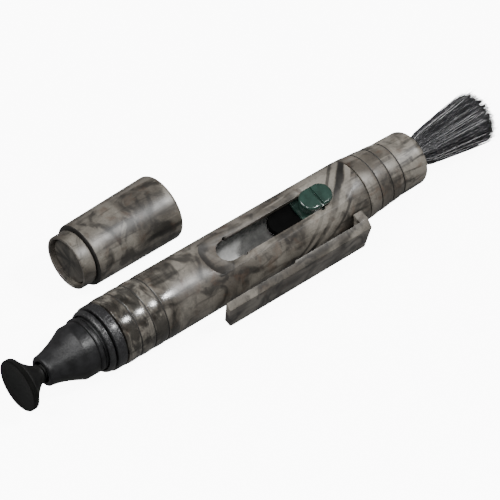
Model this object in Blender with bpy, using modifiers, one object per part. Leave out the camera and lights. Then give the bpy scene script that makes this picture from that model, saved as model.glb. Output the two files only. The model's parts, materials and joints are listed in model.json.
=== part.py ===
"""Lens cleaning pen: a slide-out brush at one end, a cleaning tip at the other, and its loose cap.

Sizes are in millimetres and become metres through MM. The pen lies along +X, from its tip to
its brush. In the pen's own frame +Z points out of the thumb slot and -Y towards the clip.
The pen rests on its barrel and on the clip's lower corner, which sets its roll. The cap lies
on the same surface, on the far side.
"""

import math

import bmesh
import bpy
from mathutils import Matrix

MM = 0.001
NAME = "lens_cleaning_pen"

# Turning and rounding
STEPS = 40
INNER_STEPS = 24
ARC_STEPS = 6
GAP = 0.3
CHAMFER = 0.3

# Cleaning tip
NECK_R = 2.0
PAD_T = 0.75
PAD_DISH = 0.3
HEAD_LENGTH = 4.8
HEAD_EDGE = 0.3
NECK_LINK_R = 1.6
NECK_LINK_LENGTH = 3.6
ANCHOR_LENGTH = 5.0
TIP_BORE_CLEARANCE = 0.5
TIP_PROTRUSION = 6.25
HEAD_FLARE = 1.4

# Nose
NOSE_STEP = 1.5
NOSE_FRONT_R = 3.1
NOSE_CONE_LENGTH = 8.05
NOSE_CONE_HOLLOW = 1.5
NOSE_CYLINDER_LENGTH = 4.6
NOSE_SPIGOT_LENGTH = 8.0
NOSE_SEAM_DEPTH = 0.15
RIB_WIDTH = 1.0
RIB_HEIGHT = 0.4
RIB_SWEEP = 250.0
RIB_START = -150.0
RIB_BACKSET = 1.1

# Black rings between the nose and the barrel
BEAD_LENGTH = 1.4
BEAD_DROP = 0.45
BEAD_STEP = 0.1
BAND_LENGTH = 2.3
BAND_DROP = 0.15

# Barrel
BARREL_R = 7.5
BARREL_LENGTH = 65.4
BARREL_DRAFT = 0.25
BARREL_WALL = 1.6
GROOVE_DEPTH = 0.25
GROOVE_HALF = 0.2
FRONT_GROOVES = (3.4, 7.0, 10.4)
DECK_DEPTH = 1.4
DECK_WALL = 1.2
DECK_START = 23.9
DECK_LENGTH = 35.3
DECK_RAMP = 4.6
DECK_SIDE = 0.4
SLOT_WIDTH = 5.2
SLOT_SETBACK = 4.2
SLOT_LENGTH = 30.0
NOTCH_R = 0.5
NOTCH_INSET = 3.6
NOTCH_STAGGER = 1.7
CUT_OVER = 2.0

# Brush end
END_LENGTH = 17.6
END_GROOVE_PITCH = 3.4
END_TAPER = 1.05
END_TAPER_SHARE = 0.74
END_NOSE_ROUND = 1.8
END_SPIGOT_LENGTH = 3.6
MOUTH_R = 4.0
MOUTH_LENGTH = 1.8
END_BORE_R = 4.5

# Sliding brush
BUTTON_LENGTH = 7.9
BUTTON_HEIGHT = 1.2
BUTTON_END_OVER = 0.15
BUTTON_ROUND = 0.5
BUTTON_GROOVE = 0.7
BUTTON_GROOVE_DEPTH = 0.45
BUTTON_SHOULDER = 0.45
NECK_SIDE_GAP = 0.4
CARRIER_LENGTH = 11.5
TAIL_LENGTH = 6.9
TAIL_HALF = 3.1
TAIL_T = 1.5
SLIDE_CLEARANCE = 0.1
FERRULE_LENGTH = 7.4
FERRULE_WALL = 0.5
FERRULE_PROUD = 0.8
FERRULE_FLOOR = 1.5
TUFT_ROOT_R = 3.5
TUFT_END_R = 6.25
TUFT_LENGTH = 19.5
TUFT_DOME = 1.3
TUFT_SPREAD = 0.9
TUFT_CROWN = 0.7

# Pocket clip
CLIP_GAP = 1.4
CLIP_T = 1.8
CLIP_STEP = 0.3
CLIP_START = 24.9
CLIP_LENGTH = 37.4
CLIP_STEP_AT = 17.1
CLIP_HIGH = 4.1
CLIP_SLOPE = 1.2
CLIP_LOW = 4.7
CLIP_END_ROUND = 1.2
CLIP_END_LEAN = 1.6
BRIDGE_LENGTH = 2.2
BRIDGE_SINK = 2.0
CLIP_BEVEL = 0.2

# Cap
CAP_LENGTH = 26.1
CAP_COLLAR_LENGTH = 3.2
CAP_COLLAR_R = 6.2
CAP_RIM = 0.85
CAP_RECESS = 1.0
CAP_DISC_T = 0.9
CAP_OPEN_DROP = 0.05
CAP_TAPER = 0.35
CAP_CLEARANCE = 0.3
CAP_END_WALL = 1.0
CAP_ROUND = 0.7
CUP_LENGTH = 2.2
CUP_WALL = 1.0
CUP_FLOOR = 0.5
CAP_AWAY = 21.9
CAP_ALONG = 29.4
CAP_YAW = math.radians(1.5)

# Stations along the pen, from the face of the tip
NOSE_R = BARREL_R - NOSE_STEP
TIP_R = NOSE_R
PAD_BACK = PAD_T
HEAD_FRONT = PAD_BACK + GAP
HEAD_BACK = HEAD_FRONT + HEAD_LENGTH
NECK_LINK_FRONT = HEAD_BACK + GAP
NECK_LINK_BACK = NECK_LINK_FRONT + NECK_LINK_LENGTH
ANCHOR_FRONT = NECK_LINK_BACK + GAP
ANCHOR_BACK = ANCHOR_FRONT + ANCHOR_LENGTH
NOSE_FRONT = TIP_PROTRUSION
CONE_BACK = NOSE_FRONT + NOSE_CONE_LENGTH
BEAD_FRONT = CONE_BACK + NOSE_CYLINDER_LENGTH
BEAD_BACK = BEAD_FRONT + BEAD_LENGTH
BAND_FRONT = BEAD_BACK + GAP
BAND_BACK = BAND_FRONT + BAND_LENGTH
BARREL_FRONT = BAND_BACK + GAP
BARREL_BACK = BARREL_FRONT + BARREL_LENGTH
END_FRONT = BARREL_BACK + GAP
MOUTH = END_FRONT + END_LENGTH
SPIGOT_BACK = BAND_BACK + NOSE_SPIGOT_LENGTH
END_SPIGOT_FRONT = END_FRONT - END_SPIGOT_LENGTH

BARREL_BACK_R = BARREL_R - BARREL_DRAFT
BORE_R = BARREL_R - BARREL_WALL
DECK_Z = BARREL_R - DECK_DEPTH
BORE_FLAT = DECK_Z - DECK_WALL
SLOT_HALF = SLOT_WIDTH / 2
DECK_X0 = BARREL_FRONT + DECK_START
DECK_X1 = DECK_X0 + DECK_LENGTH
SLOT_X0 = DECK_X0 + SLOT_SETBACK
SLOT_X1 = SLOT_X0 + SLOT_LENGTH

BUTTON_X1 = SLOT_X1 + BUTTON_END_OVER
BUTTON_X0 = BUTTON_X1 - BUTTON_LENGTH
BUTTON_NECK_X0 = BUTTON_X0 + NECK_SIDE_GAP
BUTTON_NECK_X1 = SLOT_X1 - GAP
CARRIER_R = BORE_R - GAP
CARRIER_FLAT = BORE_FLAT - GAP
CARRIER_X0 = BUTTON_X0 - BUTTON_SHOULDER
CARRIER_X1 = CARRIER_X0 + CARRIER_LENGTH
TAIL_BACK = CARRIER_X0 - GAP
TAIL_FRONT = TAIL_BACK - TAIL_LENGTH
FERRULE_BACK = MOUTH + FERRULE_PROUD
FERRULE_FRONT = FERRULE_BACK - FERRULE_LENGTH
FERRULE_R = MOUTH_R - GAP - SLIDE_CLEARANCE
SOCKET_FRONT = CARRIER_X1 + GAP
SOCKET_BACK = FERRULE_FRONT - GAP
SOCKET_R = END_BORE_R - GAP - SLIDE_CLEARANCE
TUFT_BACK = FERRULE_BACK + GAP + TUFT_LENGTH

CLIP_IN = BARREL_R + CLIP_GAP
CLIP_OUT = CLIP_IN + CLIP_T
CLIP_X0 = BARREL_FRONT + CLIP_START
CLIP_X1 = CLIP_X0 + CLIP_LENGTH
HINGE_X = CLIP_X1 - BRIDGE_LENGTH / 2

CAP_BORE_R = NOSE_R + CAP_CLEARANCE
CAP_OPEN_R = BARREL_R - CAP_OPEN_DROP
CAP_STEP_R = CAP_OPEN_R - CAP_TAPER
CAP_SHELL_FRONT = CAP_COLLAR_LENGTH + GAP

# How the pen lies: on the barrel and on the clip's lower outer corner
ROLL = math.asin(BARREL_R / math.hypot(CLIP_LOW, CLIP_OUT)) - math.atan2(CLIP_LOW, CLIP_OUT)
NEAR_SIDE = CLIP_OUT * math.cos(ROLL) + (CLIP_HIGH - CLIP_SLOPE) * math.sin(ROLL)
CAP_REACH = CAP_AWAY + CAP_OPEN_R + CAP_LENGTH * math.sin(CAP_YAW) / 2
PEN_Y = (NEAR_SIDE - CAP_REACH) / 2
PEN_X = -TUFT_BACK / 2
CAP_X = PEN_X + CAP_ALONG
CAP_Y = PEN_Y + CAP_AWAY - CAP_LENGTH * math.sin(CAP_YAW) / 2


def clear_scene():
    for old in list(bpy.data.objects):
        bpy.data.objects.remove(old, do_unlink=True)


def new_collection(name):
    collection = bpy.data.collections.new(name)
    bpy.context.scene.collection.children.link(collection)
    return collection


def frame_empty(name, location, rotation):
    """An empty that a group of pieces hangs from."""
    empty = bpy.data.objects.new(name, None)
    empty.location = [value * MM for value in location]
    empty.rotation_euler = rotation
    empty.empty_display_size = 0.005
    PARTS.objects.link(empty)
    return empty


def paint(obj, rgb, roughness, metallic=0.0):
    """Give the object a material of its own."""
    finish = bpy.data.materials.new(obj.name + "_finish")
    finish.use_nodes = True
    shader = finish.node_tree.nodes["Principled BSDF"]
    shader.inputs["Base Color"].default_value = (*rgb, 1.0)
    shader.inputs["Roughness"].default_value = roughness
    shader.inputs["Metallic"].default_value = metallic
    finish.diffuse_color = (*rgb, 1.0)
    obj.data.materials.clear()
    obj.data.materials.append(finish)


def place(obj, parent, pivot=(0.0, 0.0, 0.0)):
    """Hang the object from an empty, with its origin at the pivot."""
    obj.data.transform(Matrix.Translation([-value * MM for value in pivot]))
    obj.location = [value * MM for value in pivot]
    obj.parent = parent


def add_part(obj, parent, pivot, rgb, roughness, metallic=0.0):
    place(obj, parent, pivot)
    PARTS.objects.link(obj)
    paint(obj, rgb, roughness, metallic)
    obj.data.shade_smooth()
    obj.data.set_sharp_from_angle(angle=math.radians(30))
    return obj


def add_cutter(obj, parent):
    place(obj, parent)
    CUTTERS.objects.link(obj)
    obj.hide_render = True
    obj.display_type = 'WIRE'
    return obj


def boolean(obj, other, operation):
    modifier = obj.modifiers.new(operation.title(), 'BOOLEAN')
    modifier.operation = operation
    modifier.solver = 'EXACT'
    modifier.object = other


def arc(centre, radius, start, end, steps=ARC_STEPS):
    """Points on an arc, with its angles in degrees."""
    points = []
    for index in range(steps + 1):
        angle = math.radians(start + (end - start) * index / steps)
        points.append((centre[0] + radius * math.cos(angle), centre[1] + radius * math.sin(angle)))
    return points


def groove(x, r):
    """Three points of a V groove round a turned piece."""
    return [(x - GROOVE_HALF, r), (x, r - GROOVE_DEPTH), (x + GROOVE_HALF, r)]


def turned(name, outline, steps=STEPS, ring=False):
    """Turn an outline of (x, r) points, given from front to back along its outer side."""
    points = list(reversed(outline))
    count = len(points)
    edges = [(index, index + 1) for index in range(count - 1)]
    if ring:
        edges.append((count - 1, 0))
    mesh = bpy.data.meshes.new(name)
    mesh.from_pydata([(x * MM, r * MM, 0.0) for x, r in points], edges, [])
    obj = bpy.data.objects.new(name, mesh)
    turn = obj.modifiers.new("Turn", 'SCREW')
    turn.axis = 'X'
    turn.angle = math.tau
    turn.steps = steps
    turn.render_steps = steps
    turn.use_merge_vertices = True
    turn.merge_threshold = 0.00001
    return obj


def mesh_object(name, build):
    """A mesh object whose mesh is filled in by a bmesh function."""
    mesh = bpy.data.meshes.new(name)
    shape = bmesh.new()
    build(shape)
    bmesh.ops.recalc_face_normals(shape, faces=shape.faces)
    shape.to_mesh(mesh)
    shape.free()
    return bpy.data.objects.new(name, mesh)


def rod(name, x0, x1, radius, below=None, above=None, steps=STEPS):
    """A rod along X, kept only below or above a height where one is given."""
    def build(shape):
        turn = Matrix.Rotation(math.radians(90), 4, 'Y')
        move = Matrix.Translation(((x0 + x1) / 2 * MM, 0.0, 0.0))
        bmesh.ops.create_cone(shape, cap_ends=True, segments=steps, radius1=radius * MM,
                              radius2=radius * MM, depth=(x1 - x0) * MM, matrix=move @ turn)
        if below is None and above is None:
            return
        height = below if below is not None else above
        up = 1.0 if below is not None else -1.0
        everything = shape.verts[:] + shape.edges[:] + shape.faces[:]
        cut = bmesh.ops.bisect_plane(shape, geom=everything, plane_co=(0.0, 0.0, height * MM),
                                     plane_no=(0.0, 0.0, up), clear_outer=True)
        rim = [item for item in cut["geom_cut"] if isinstance(item, bmesh.types.BMEdge)]
        bmesh.ops.edgeloop_fill(shape, edges=rim)
    return mesh_object(name, build)


def block(name, low, high):
    """A box between two corners."""
    def build(shape):
        size = [(high[axis] - low[axis]) * MM for axis in range(3)]
        middle = [(high[axis] + low[axis]) / 2 * MM for axis in range(3)]
        bmesh.ops.create_cube(shape, size=1.0)
        bmesh.ops.scale(shape, vec=size, verts=shape.verts)
        bmesh.ops.translate(shape, vec=middle, verts=shape.verts)
    return mesh_object(name, build)


def flat_solid(name, outline, low, high, turn=None):
    """An outline in X and Y, filled and made solid from low to high along Z, then turned."""
    curve = bpy.data.curves.new(name, 'CURVE')
    curve.dimensions = '2D'
    curve.fill_mode = 'BOTH'
    curve.extrude = (high - low) / 2 * MM
    spline = curve.splines.new('POLY')
    spline.points.add(len(outline) - 1)
    for point, (x, y) in zip(spline.points, outline):
        point.co = (x * MM, y * MM, 0.0, 1.0)
    spline.use_cyclic_u = True
    guide = bpy.data.objects.new(name + "_outline", curve)
    bpy.context.scene.collection.objects.link(guide)
    graph = bpy.context.evaluated_depsgraph_get()
    mesh = bpy.data.meshes.new_from_object(guide.evaluated_get(graph))
    bpy.data.objects.remove(guide, do_unlink=True)
    mesh.name = name
    mesh.transform(Matrix.Translation((0.0, 0.0, (high + low) / 2 * MM)))
    if turn is not None:
        mesh.transform(turn)
    shape = bmesh.new()
    shape.from_mesh(mesh)
    bmesh.ops.remove_doubles(shape, verts=shape.verts, dist=0.000001)
    bmesh.ops.recalc_face_normals(shape, faces=shape.faces)
    shape.to_mesh(mesh)
    shape.free()
    return bpy.data.objects.new(name, mesh)


def stadium(x0, x1, half):
    """A slot outline with two round ends."""
    right = arc((x1 - half, 0.0), half, -90, 90)
    left = arc((x0 + half, 0.0), half, 90, 270)
    return right + left


def round_end(obj, x, radius, along):
    """Round the corners at one end of a plate, whose edges there run along the given axis."""
    shape = bmesh.new()
    shape.from_mesh(obj.data)
    corners = []
    for edge in shape.edges:
        ends = [vert.co for vert in edge.verts]
        at_end = all(abs(end.x - x * MM) < 1e-6 for end in ends)
        if at_end and abs((ends[0] - ends[1]).normalized()[along]) > 0.999:
            corners.append(edge)
    bmesh.ops.bevel(shape, geom=corners, offset=radius * MM, segments=ARC_STEPS, profile=0.5,
                    affect='EDGES')
    shape.to_mesh(obj.data)
    shape.free()


def lean_end(obj, x, reach, low, high, amount):
    """Slant one end of a plate, so that its upper corner stands further out."""
    for vert in obj.data.vertices:
        if vert.co.x < (x + reach) * MM + 1e-6:
            share = (vert.co.z / MM - low) / (high - low)
            vert.co.x -= amount * share * MM


def make_cleaning_pad(parent):
    edge = TIP_R - CHAMFER / 2
    outline = [(PAD_DISH, 0.0), (PAD_DISH / 2, edge / 2), (0.0, edge - CHAMFER), (CHAMFER / 2, edge),
               (PAD_BACK, edge), (PAD_BACK, 0.0)]
    add_part(turned("cleaning_pad", outline), parent, TIP_PIVOT, (0.012, 0.012, 0.011), 0.9)


def make_tip_head(parent):
    """The trumpet-shaped rubber head behind the pad."""
    rim_back = HEAD_FRONT + HEAD_EDGE
    outline = [(HEAD_FRONT, 0.0), (HEAD_FRONT, TIP_R - CHAMFER / 2), (rim_back, TIP_R - CHAMFER)]
    flare = HEAD_LENGTH - 2 * HEAD_EDGE
    rise = TIP_R - CHAMFER - NECK_R
    for index in range(1, ARC_STEPS + 1):
        share = index / ARC_STEPS
        outline.append((rim_back + flare * share, NECK_R + rise * (1 - share) ** HEAD_FLARE))
    outline.append((HEAD_BACK, NECK_R))
    outline.append((HEAD_BACK, 0.0))
    add_part(turned("tip_head", outline), parent, TIP_PIVOT, (0.012, 0.012, 0.011), 0.7)


def make_neck_link(parent):
    """The bending neck between the head and the nose."""
    r = NECK_LINK_R
    outline = [(NECK_LINK_FRONT, 0.0), (NECK_LINK_FRONT, r - CHAMFER), (NECK_LINK_FRONT + CHAMFER, r),
               (NECK_LINK_BACK, r), (NECK_LINK_BACK, 0.0)]
    add_part(turned("tip_neck_link", outline, INNER_STEPS), parent, NECK_PIVOT, (0.02, 0.02, 0.02), 0.5)


def make_tip_anchor(parent):
    r = NECK_LINK_R + TIP_BORE_CLEARANCE
    outline = [(ANCHOR_FRONT, 0.0), (ANCHOR_FRONT, r), (ANCHOR_BACK, r), (ANCHOR_BACK, 0.0)]
    add_part(turned("tip_anchor_plug", outline, INNER_STEPS), parent, AXIS, (0.03, 0.03, 0.03), 0.5)


def make_nose_cone(parent):
    """The nose: a hollow-sided cone, the cylinder that the cap seats on, and a spigot in the barrel."""
    bore = NECK_LINK_R + TIP_BORE_CLEARANCE + GAP
    rise = NOSE_R - NOSE_FRONT_R - CHAMFER
    outline = [(NOSE_FRONT, bore), (NOSE_FRONT, NOSE_FRONT_R)]
    for index in range(ARC_STEPS + 1):
        share = index / ARC_STEPS
        x = NOSE_FRONT + CHAMFER + (NOSE_CONE_LENGTH - CHAMFER) * share
        outline.append((x, NOSE_FRONT_R + CHAMFER + rise * share ** NOSE_CONE_HOLLOW))
    seam = BEAD_FRONT - RIB_BACKSET / 2
    outline += [(seam - GROOVE_HALF, NOSE_R), (seam, NOSE_R - NOSE_SEAM_DEPTH)]
    outline.append((seam + GROOVE_HALF, NOSE_R))
    outline += [(BAND_BACK, NOSE_R), (BAND_BACK, BORE_R - GAP), (SPIGOT_BACK, BORE_R - GAP)]
    outline += [(SPIGOT_BACK, 0.0)]
    back = ANCHOR_BACK + GAP
    inner = [(back, 0.0), (back, bore)]
    obj = turned("nose_cone", inner + outline)
    strip = arc((0.0, 0.0), NOSE_R + RIB_HEIGHT, RIB_START, RIB_START + RIB_SWEEP, 4 * ARC_STEPS)
    strip += arc((0.0, 0.0), NOSE_R - RIB_HEIGHT, RIB_START + RIB_SWEEP, RIB_START, 4 * ARC_STEPS)
    rib_back = BEAD_FRONT - RIB_BACKSET + GROOVE_HALF
    across = Matrix.Rotation(math.radians(90), 4, 'Y')
    rib = add_cutter(flat_solid("nose_rib_form", strip, rib_back - RIB_WIDTH, rib_back, across), parent)
    boolean(obj, rib, 'UNION')
    add_part(obj, parent, AXIS, (0.018, 0.018, 0.019), 0.45)


def make_seal_ring(parent):
    inner = NOSE_R + GAP
    outer = BARREL_R - BEAD_DROP
    rise = outer - inner
    outline = [(BEAD_FRONT, inner)]
    for index in range(ARC_STEPS + 1):
        angle = math.radians(90) * index / ARC_STEPS
        x = BEAD_FRONT + (BEAD_LENGTH - CHAMFER) * (1 - math.cos(angle))
        outline.append((x, inner + BEAD_STEP + (rise - BEAD_STEP) * math.sin(angle)))
    outline += [(BEAD_BACK, outer - CHAMFER), (BEAD_BACK, inner)]
    add_part(turned("nose_seal_ring", outline, ring=True), parent, AXIS, (0.012, 0.012, 0.012), 0.4)


def make_front_band(parent):
    inner = NOSE_R + GAP
    outer = BARREL_R - BAND_DROP
    edge = CHAMFER / 2
    outline = [(BAND_FRONT, inner), (BAND_FRONT, outer - edge), (BAND_FRONT + edge, outer),
               (BAND_BACK - edge, outer), (BAND_BACK, outer - edge), (BAND_BACK, inner)]
    add_part(turned("front_band", outline, ring=True), parent, AXIS, (0.02, 0.02, 0.021), 0.5)


def make_barrel(parent):
    """The barrel: a turned tube with front grooves, a flat deck, the roof under it and the slot."""
    outline = [(BARREL_FRONT, BORE_R), (BARREL_FRONT, BARREL_R - CHAMFER)]
    outline.append((BARREL_FRONT + CHAMFER, BARREL_R))
    for offset in FRONT_GROOVES:
        outline += groove(BARREL_FRONT + offset, BARREL_R)
    outline += [(BARREL_BACK - CHAMFER / 2, BARREL_BACK_R), (BARREL_BACK, BARREL_BACK_R - CHAMFER / 2)]
    outline += [(BARREL_BACK, BORE_R)]
    obj = turned("barrel_shell", outline, ring=True)
    roof = rod("deck_roof_form", SPIGOT_BACK + 2 * GAP, END_SPIGOT_FRONT - GAP, BORE_R + BARREL_WALL / 4,
               above=BORE_FLAT)
    boolean(obj, add_cutter(roof, parent), 'UNION')

    top = BARREL_R + CUT_OVER
    bottom = BORE_FLAT - GAP
    deck_half = math.sqrt(BARREL_R ** 2 - DECK_Z ** 2) + DECK_SIDE
    ramp_end = DECK_X1 + DECK_RAMP
    side = [(DECK_X0, DECK_Z), (DECK_X1, DECK_Z), (ramp_end, BARREL_R), (ramp_end, top), (DECK_X0, top)]
    upright = Matrix.Rotation(math.radians(90), 4, 'X')
    deck = flat_solid("deck_cut", side, -deck_half, deck_half, upright)
    round_end(deck, DECK_X0, deck_half - DECK_SIDE / 2, 2)
    slot_plan = stadium(SLOT_X0, SLOT_X1, SLOT_HALF)
    cutters = [deck, flat_solid("slot_cut", slot_plan, bottom, top)]
    detents = (
        (SLOT_X0 + NOTCH_INSET, 1),
        (SLOT_X0 + NOTCH_INSET + NOTCH_STAGGER, -1),
        (SLOT_X1 - NOTCH_INSET, 1),
        (SLOT_X1 - NOTCH_INSET, -1),
    )
    for index, (x, side_sign) in enumerate(detents):
        circle = arc((x, side_sign * SLOT_HALF), NOTCH_R, 0, 360, 12)[:-1]
        cutters.append(flat_solid("notch_cut_%d" % index, circle, bottom, top))
    for cutter in cutters:
        boolean(obj, add_cutter(cutter, parent), 'DIFFERENCE')
    add_part(obj, parent, AXIS, (0.22, 0.2, 0.175), 0.4)


def make_brush_end(parent):
    """The tapering end collar that the brush slides out of."""
    r0 = BARREL_BACK_R
    r1 = r0 - END_TAPER
    body = END_LENGTH - END_NOSE_ROUND

    def radius(x):
        share = (x - END_FRONT) / body
        return r0 + (r1 - r0) * min(share / END_TAPER_SHARE, 1.0)

    outline = [(END_SPIGOT_FRONT, END_BORE_R), (END_SPIGOT_FRONT, BORE_R - GAP), (END_FRONT, BORE_R - GAP)]
    outline += [(END_FRONT, r0 - CHAMFER / 2), (END_FRONT + CHAMFER / 2, r0)]
    for index in range(1, 4):
        x = END_FRONT + END_GROOVE_PITCH * index
        outline += groove(x, radius(x))
    outline.append((END_FRONT + body * END_TAPER_SHARE, r1))
    outline += list(reversed(arc((END_FRONT + body, r1 - END_NOSE_ROUND), END_NOSE_ROUND, 0, 90)))
    outline += [(MOUTH, MOUTH_R), (MOUTH - MOUTH_LENGTH, MOUTH_R)]
    outline += [(MOUTH - MOUTH_LENGTH - (END_BORE_R - MOUTH_R), END_BORE_R)]
    add_part(turned("brush_end_collar", outline, ring=True), parent, AXIS, (0.2, 0.185, 0.165), 0.45)


def make_slider_button(parent):
    """The thumb button: a domed head with a cross groove, on a neck that runs in the slot."""
    low = DECK_Z + GAP
    high = low + BUTTON_HEIGHT
    half = SLOT_HALF
    head_plan = stadium(BUTTON_X0, BUTTON_X1, half)
    obj = flat_solid("slider_button", head_plan, low, high)
    bevel = obj.modifiers.new("Dome", 'BEVEL')
    bevel.width = BUTTON_ROUND * MM
    bevel.segments = 3
    bevel.limit_method = 'ANGLE'
    bevel.angle_limit = math.radians(60)
    neck_plan = stadium(BUTTON_NECK_X0, BUTTON_NECK_X1, SLOT_HALF - NECK_SIDE_GAP)
    neck = flat_solid("button_neck_form", neck_plan, BORE_FLAT, low + BUTTON_HEIGHT / 3)
    boolean(obj, add_cutter(neck, parent), 'UNION')
    middle = (BUTTON_X0 + BUTTON_X1) / 2
    groove_half = BUTTON_GROOVE / 2
    line = block("button_groove_cut", (middle - groove_half, -2 * half, high - BUTTON_GROOVE_DEPTH),
                 (middle + groove_half, 2 * half, high + CUT_OVER))
    boolean(obj, add_cutter(line, parent), 'DIFFERENCE')
    add_part(obj, parent, AXIS, (0.035, 0.085, 0.068), 0.35)


def make_brush_carrier(parent):
    """The sliding carrier, the plate in front of it and the socket that holds the ferrule."""
    carrier = rod("brush_carrier", CARRIER_X0, CARRIER_X1, CARRIER_R, below=CARRIER_FLAT,
                  steps=INNER_STEPS)
    add_part(carrier, parent, AXIS, (0.035, 0.085, 0.068), 0.4)
    plan = arc((TAIL_FRONT + TAIL_HALF, 0.0), TAIL_HALF, 90, 270, 2 * ARC_STEPS)
    plan += [(TAIL_BACK, -TAIL_HALF), (TAIL_BACK, TAIL_HALF)]
    tail = flat_solid("carrier_tail", plan, CARRIER_FLAT - TAIL_T, CARRIER_FLAT)
    add_part(tail, parent, AXIS, (0.008, 0.008, 0.008), 0.5)
    r = SOCKET_R
    socket = [(SOCKET_FRONT, 0.0), (SOCKET_FRONT, r), (SOCKET_BACK - CHAMFER, r),
              (SOCKET_BACK, r - CHAMFER), (SOCKET_BACK, 0.0)]
    add_part(turned("ferrule_socket", socket, INNER_STEPS), parent, AXIS, (0.035, 0.085, 0.068), 0.4)


def make_brush_ferrule(parent):
    r = FERRULE_R
    edge = CHAMFER / 2
    floor = FERRULE_FRONT + FERRULE_FLOOR
    bore = r - FERRULE_WALL
    outline = [(FERRULE_FRONT, 0.0), (FERRULE_FRONT, r), (FERRULE_BACK - edge, r),
               (FERRULE_BACK, r - edge), (FERRULE_BACK, bore), (floor, bore), (floor, 0.0)]
    add_part(turned("brush_ferrule", outline, INNER_STEPS), parent, AXIS, (0.045, 0.115, 0.09), 0.4)


def make_bristle_tuft(parent):
    """The tuft: its bound root inside the ferrule, and the bristles spreading to a domed end."""
    root = FERRULE_R - FERRULE_WALL - GAP
    start = FERRULE_BACK + GAP
    bottom = FERRULE_FRONT + FERRULE_FLOOR + GAP
    outline = [(bottom, 0.0), (bottom, root), (start, root)]
    for index in range(ARC_STEPS + 1):
        share = index / ARC_STEPS
        x = start + (TUFT_LENGTH - TUFT_DOME) * share
        outline.append((x, TUFT_ROOT_R + (TUFT_END_R - TUFT_ROOT_R) * share ** TUFT_SPREAD))
    outline.append((TUFT_BACK - TUFT_DOME / 3, TUFT_END_R * TUFT_CROWN))
    outline.append((TUFT_BACK, 0.0))
    add_part(turned("bristle_tuft", outline, INNER_STEPS), parent, AXIS, (0.045, 0.045, 0.047), 0.8)


def make_pocket_clip(parent):
    """The spring clip: a long plate beside the barrel, on a bridge at its brush end."""
    foot = BARREL_R - BRIDGE_SINK
    step = CLIP_X0 + CLIP_STEP_AT
    side = [(CLIP_X0, CLIP_IN + CLIP_STEP), (step, CLIP_IN + CLIP_STEP), (step + CLIP_STEP, CLIP_IN),
            (CLIP_X1 - BRIDGE_LENGTH, CLIP_IN), (CLIP_X1 - BRIDGE_LENGTH, foot), (CLIP_X1, foot),
            (CLIP_X1, CLIP_OUT), (CLIP_X0, CLIP_OUT)]
    near = [(x, -across) for x, across in side]
    obj = flat_solid("pocket_clip", near, -CLIP_LOW, CLIP_HIGH)
    round_end(obj, CLIP_X0, CLIP_END_ROUND, 1)
    lean_end(obj, CLIP_X0, CLIP_END_ROUND, -CLIP_LOW, CLIP_HIGH, CLIP_END_LEAN)
    front = CLIP_X0 - CUT_OVER
    back = CLIP_X1 + CUT_OVER
    drop = CLIP_SLOPE * (CLIP_T + CUT_OVER) / CLIP_T
    slope = [(-CLIP_HIGH, -CLIP_IN), (drop - CLIP_HIGH, -CLIP_OUT - CUT_OVER),
             (-CLIP_HIGH - CUT_OVER, -CLIP_OUT - CUT_OVER), (-CLIP_HIGH - CUT_OVER, -CLIP_IN)]
    across = Matrix.Rotation(math.radians(90), 4, 'Y')
    boolean(obj, add_cutter(flat_solid("clip_slope_cut", slope, front, back, across), parent), 'DIFFERENCE')
    bevel = obj.modifiers.new("Edges", 'BEVEL')
    bevel.width = CLIP_BEVEL * MM
    bevel.segments = 1
    bevel.limit_method = 'ANGLE'
    bevel.angle_limit = math.radians(60)
    seat = rod("clip_seat_cut", front, back, BARREL_R + GAP)
    boolean(obj, add_cutter(seat, parent), 'DIFFERENCE')
    add_part(obj, parent, (HINGE_X, -CLIP_IN, 0.0), (0.22, 0.2, 0.175), 0.4)


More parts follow.
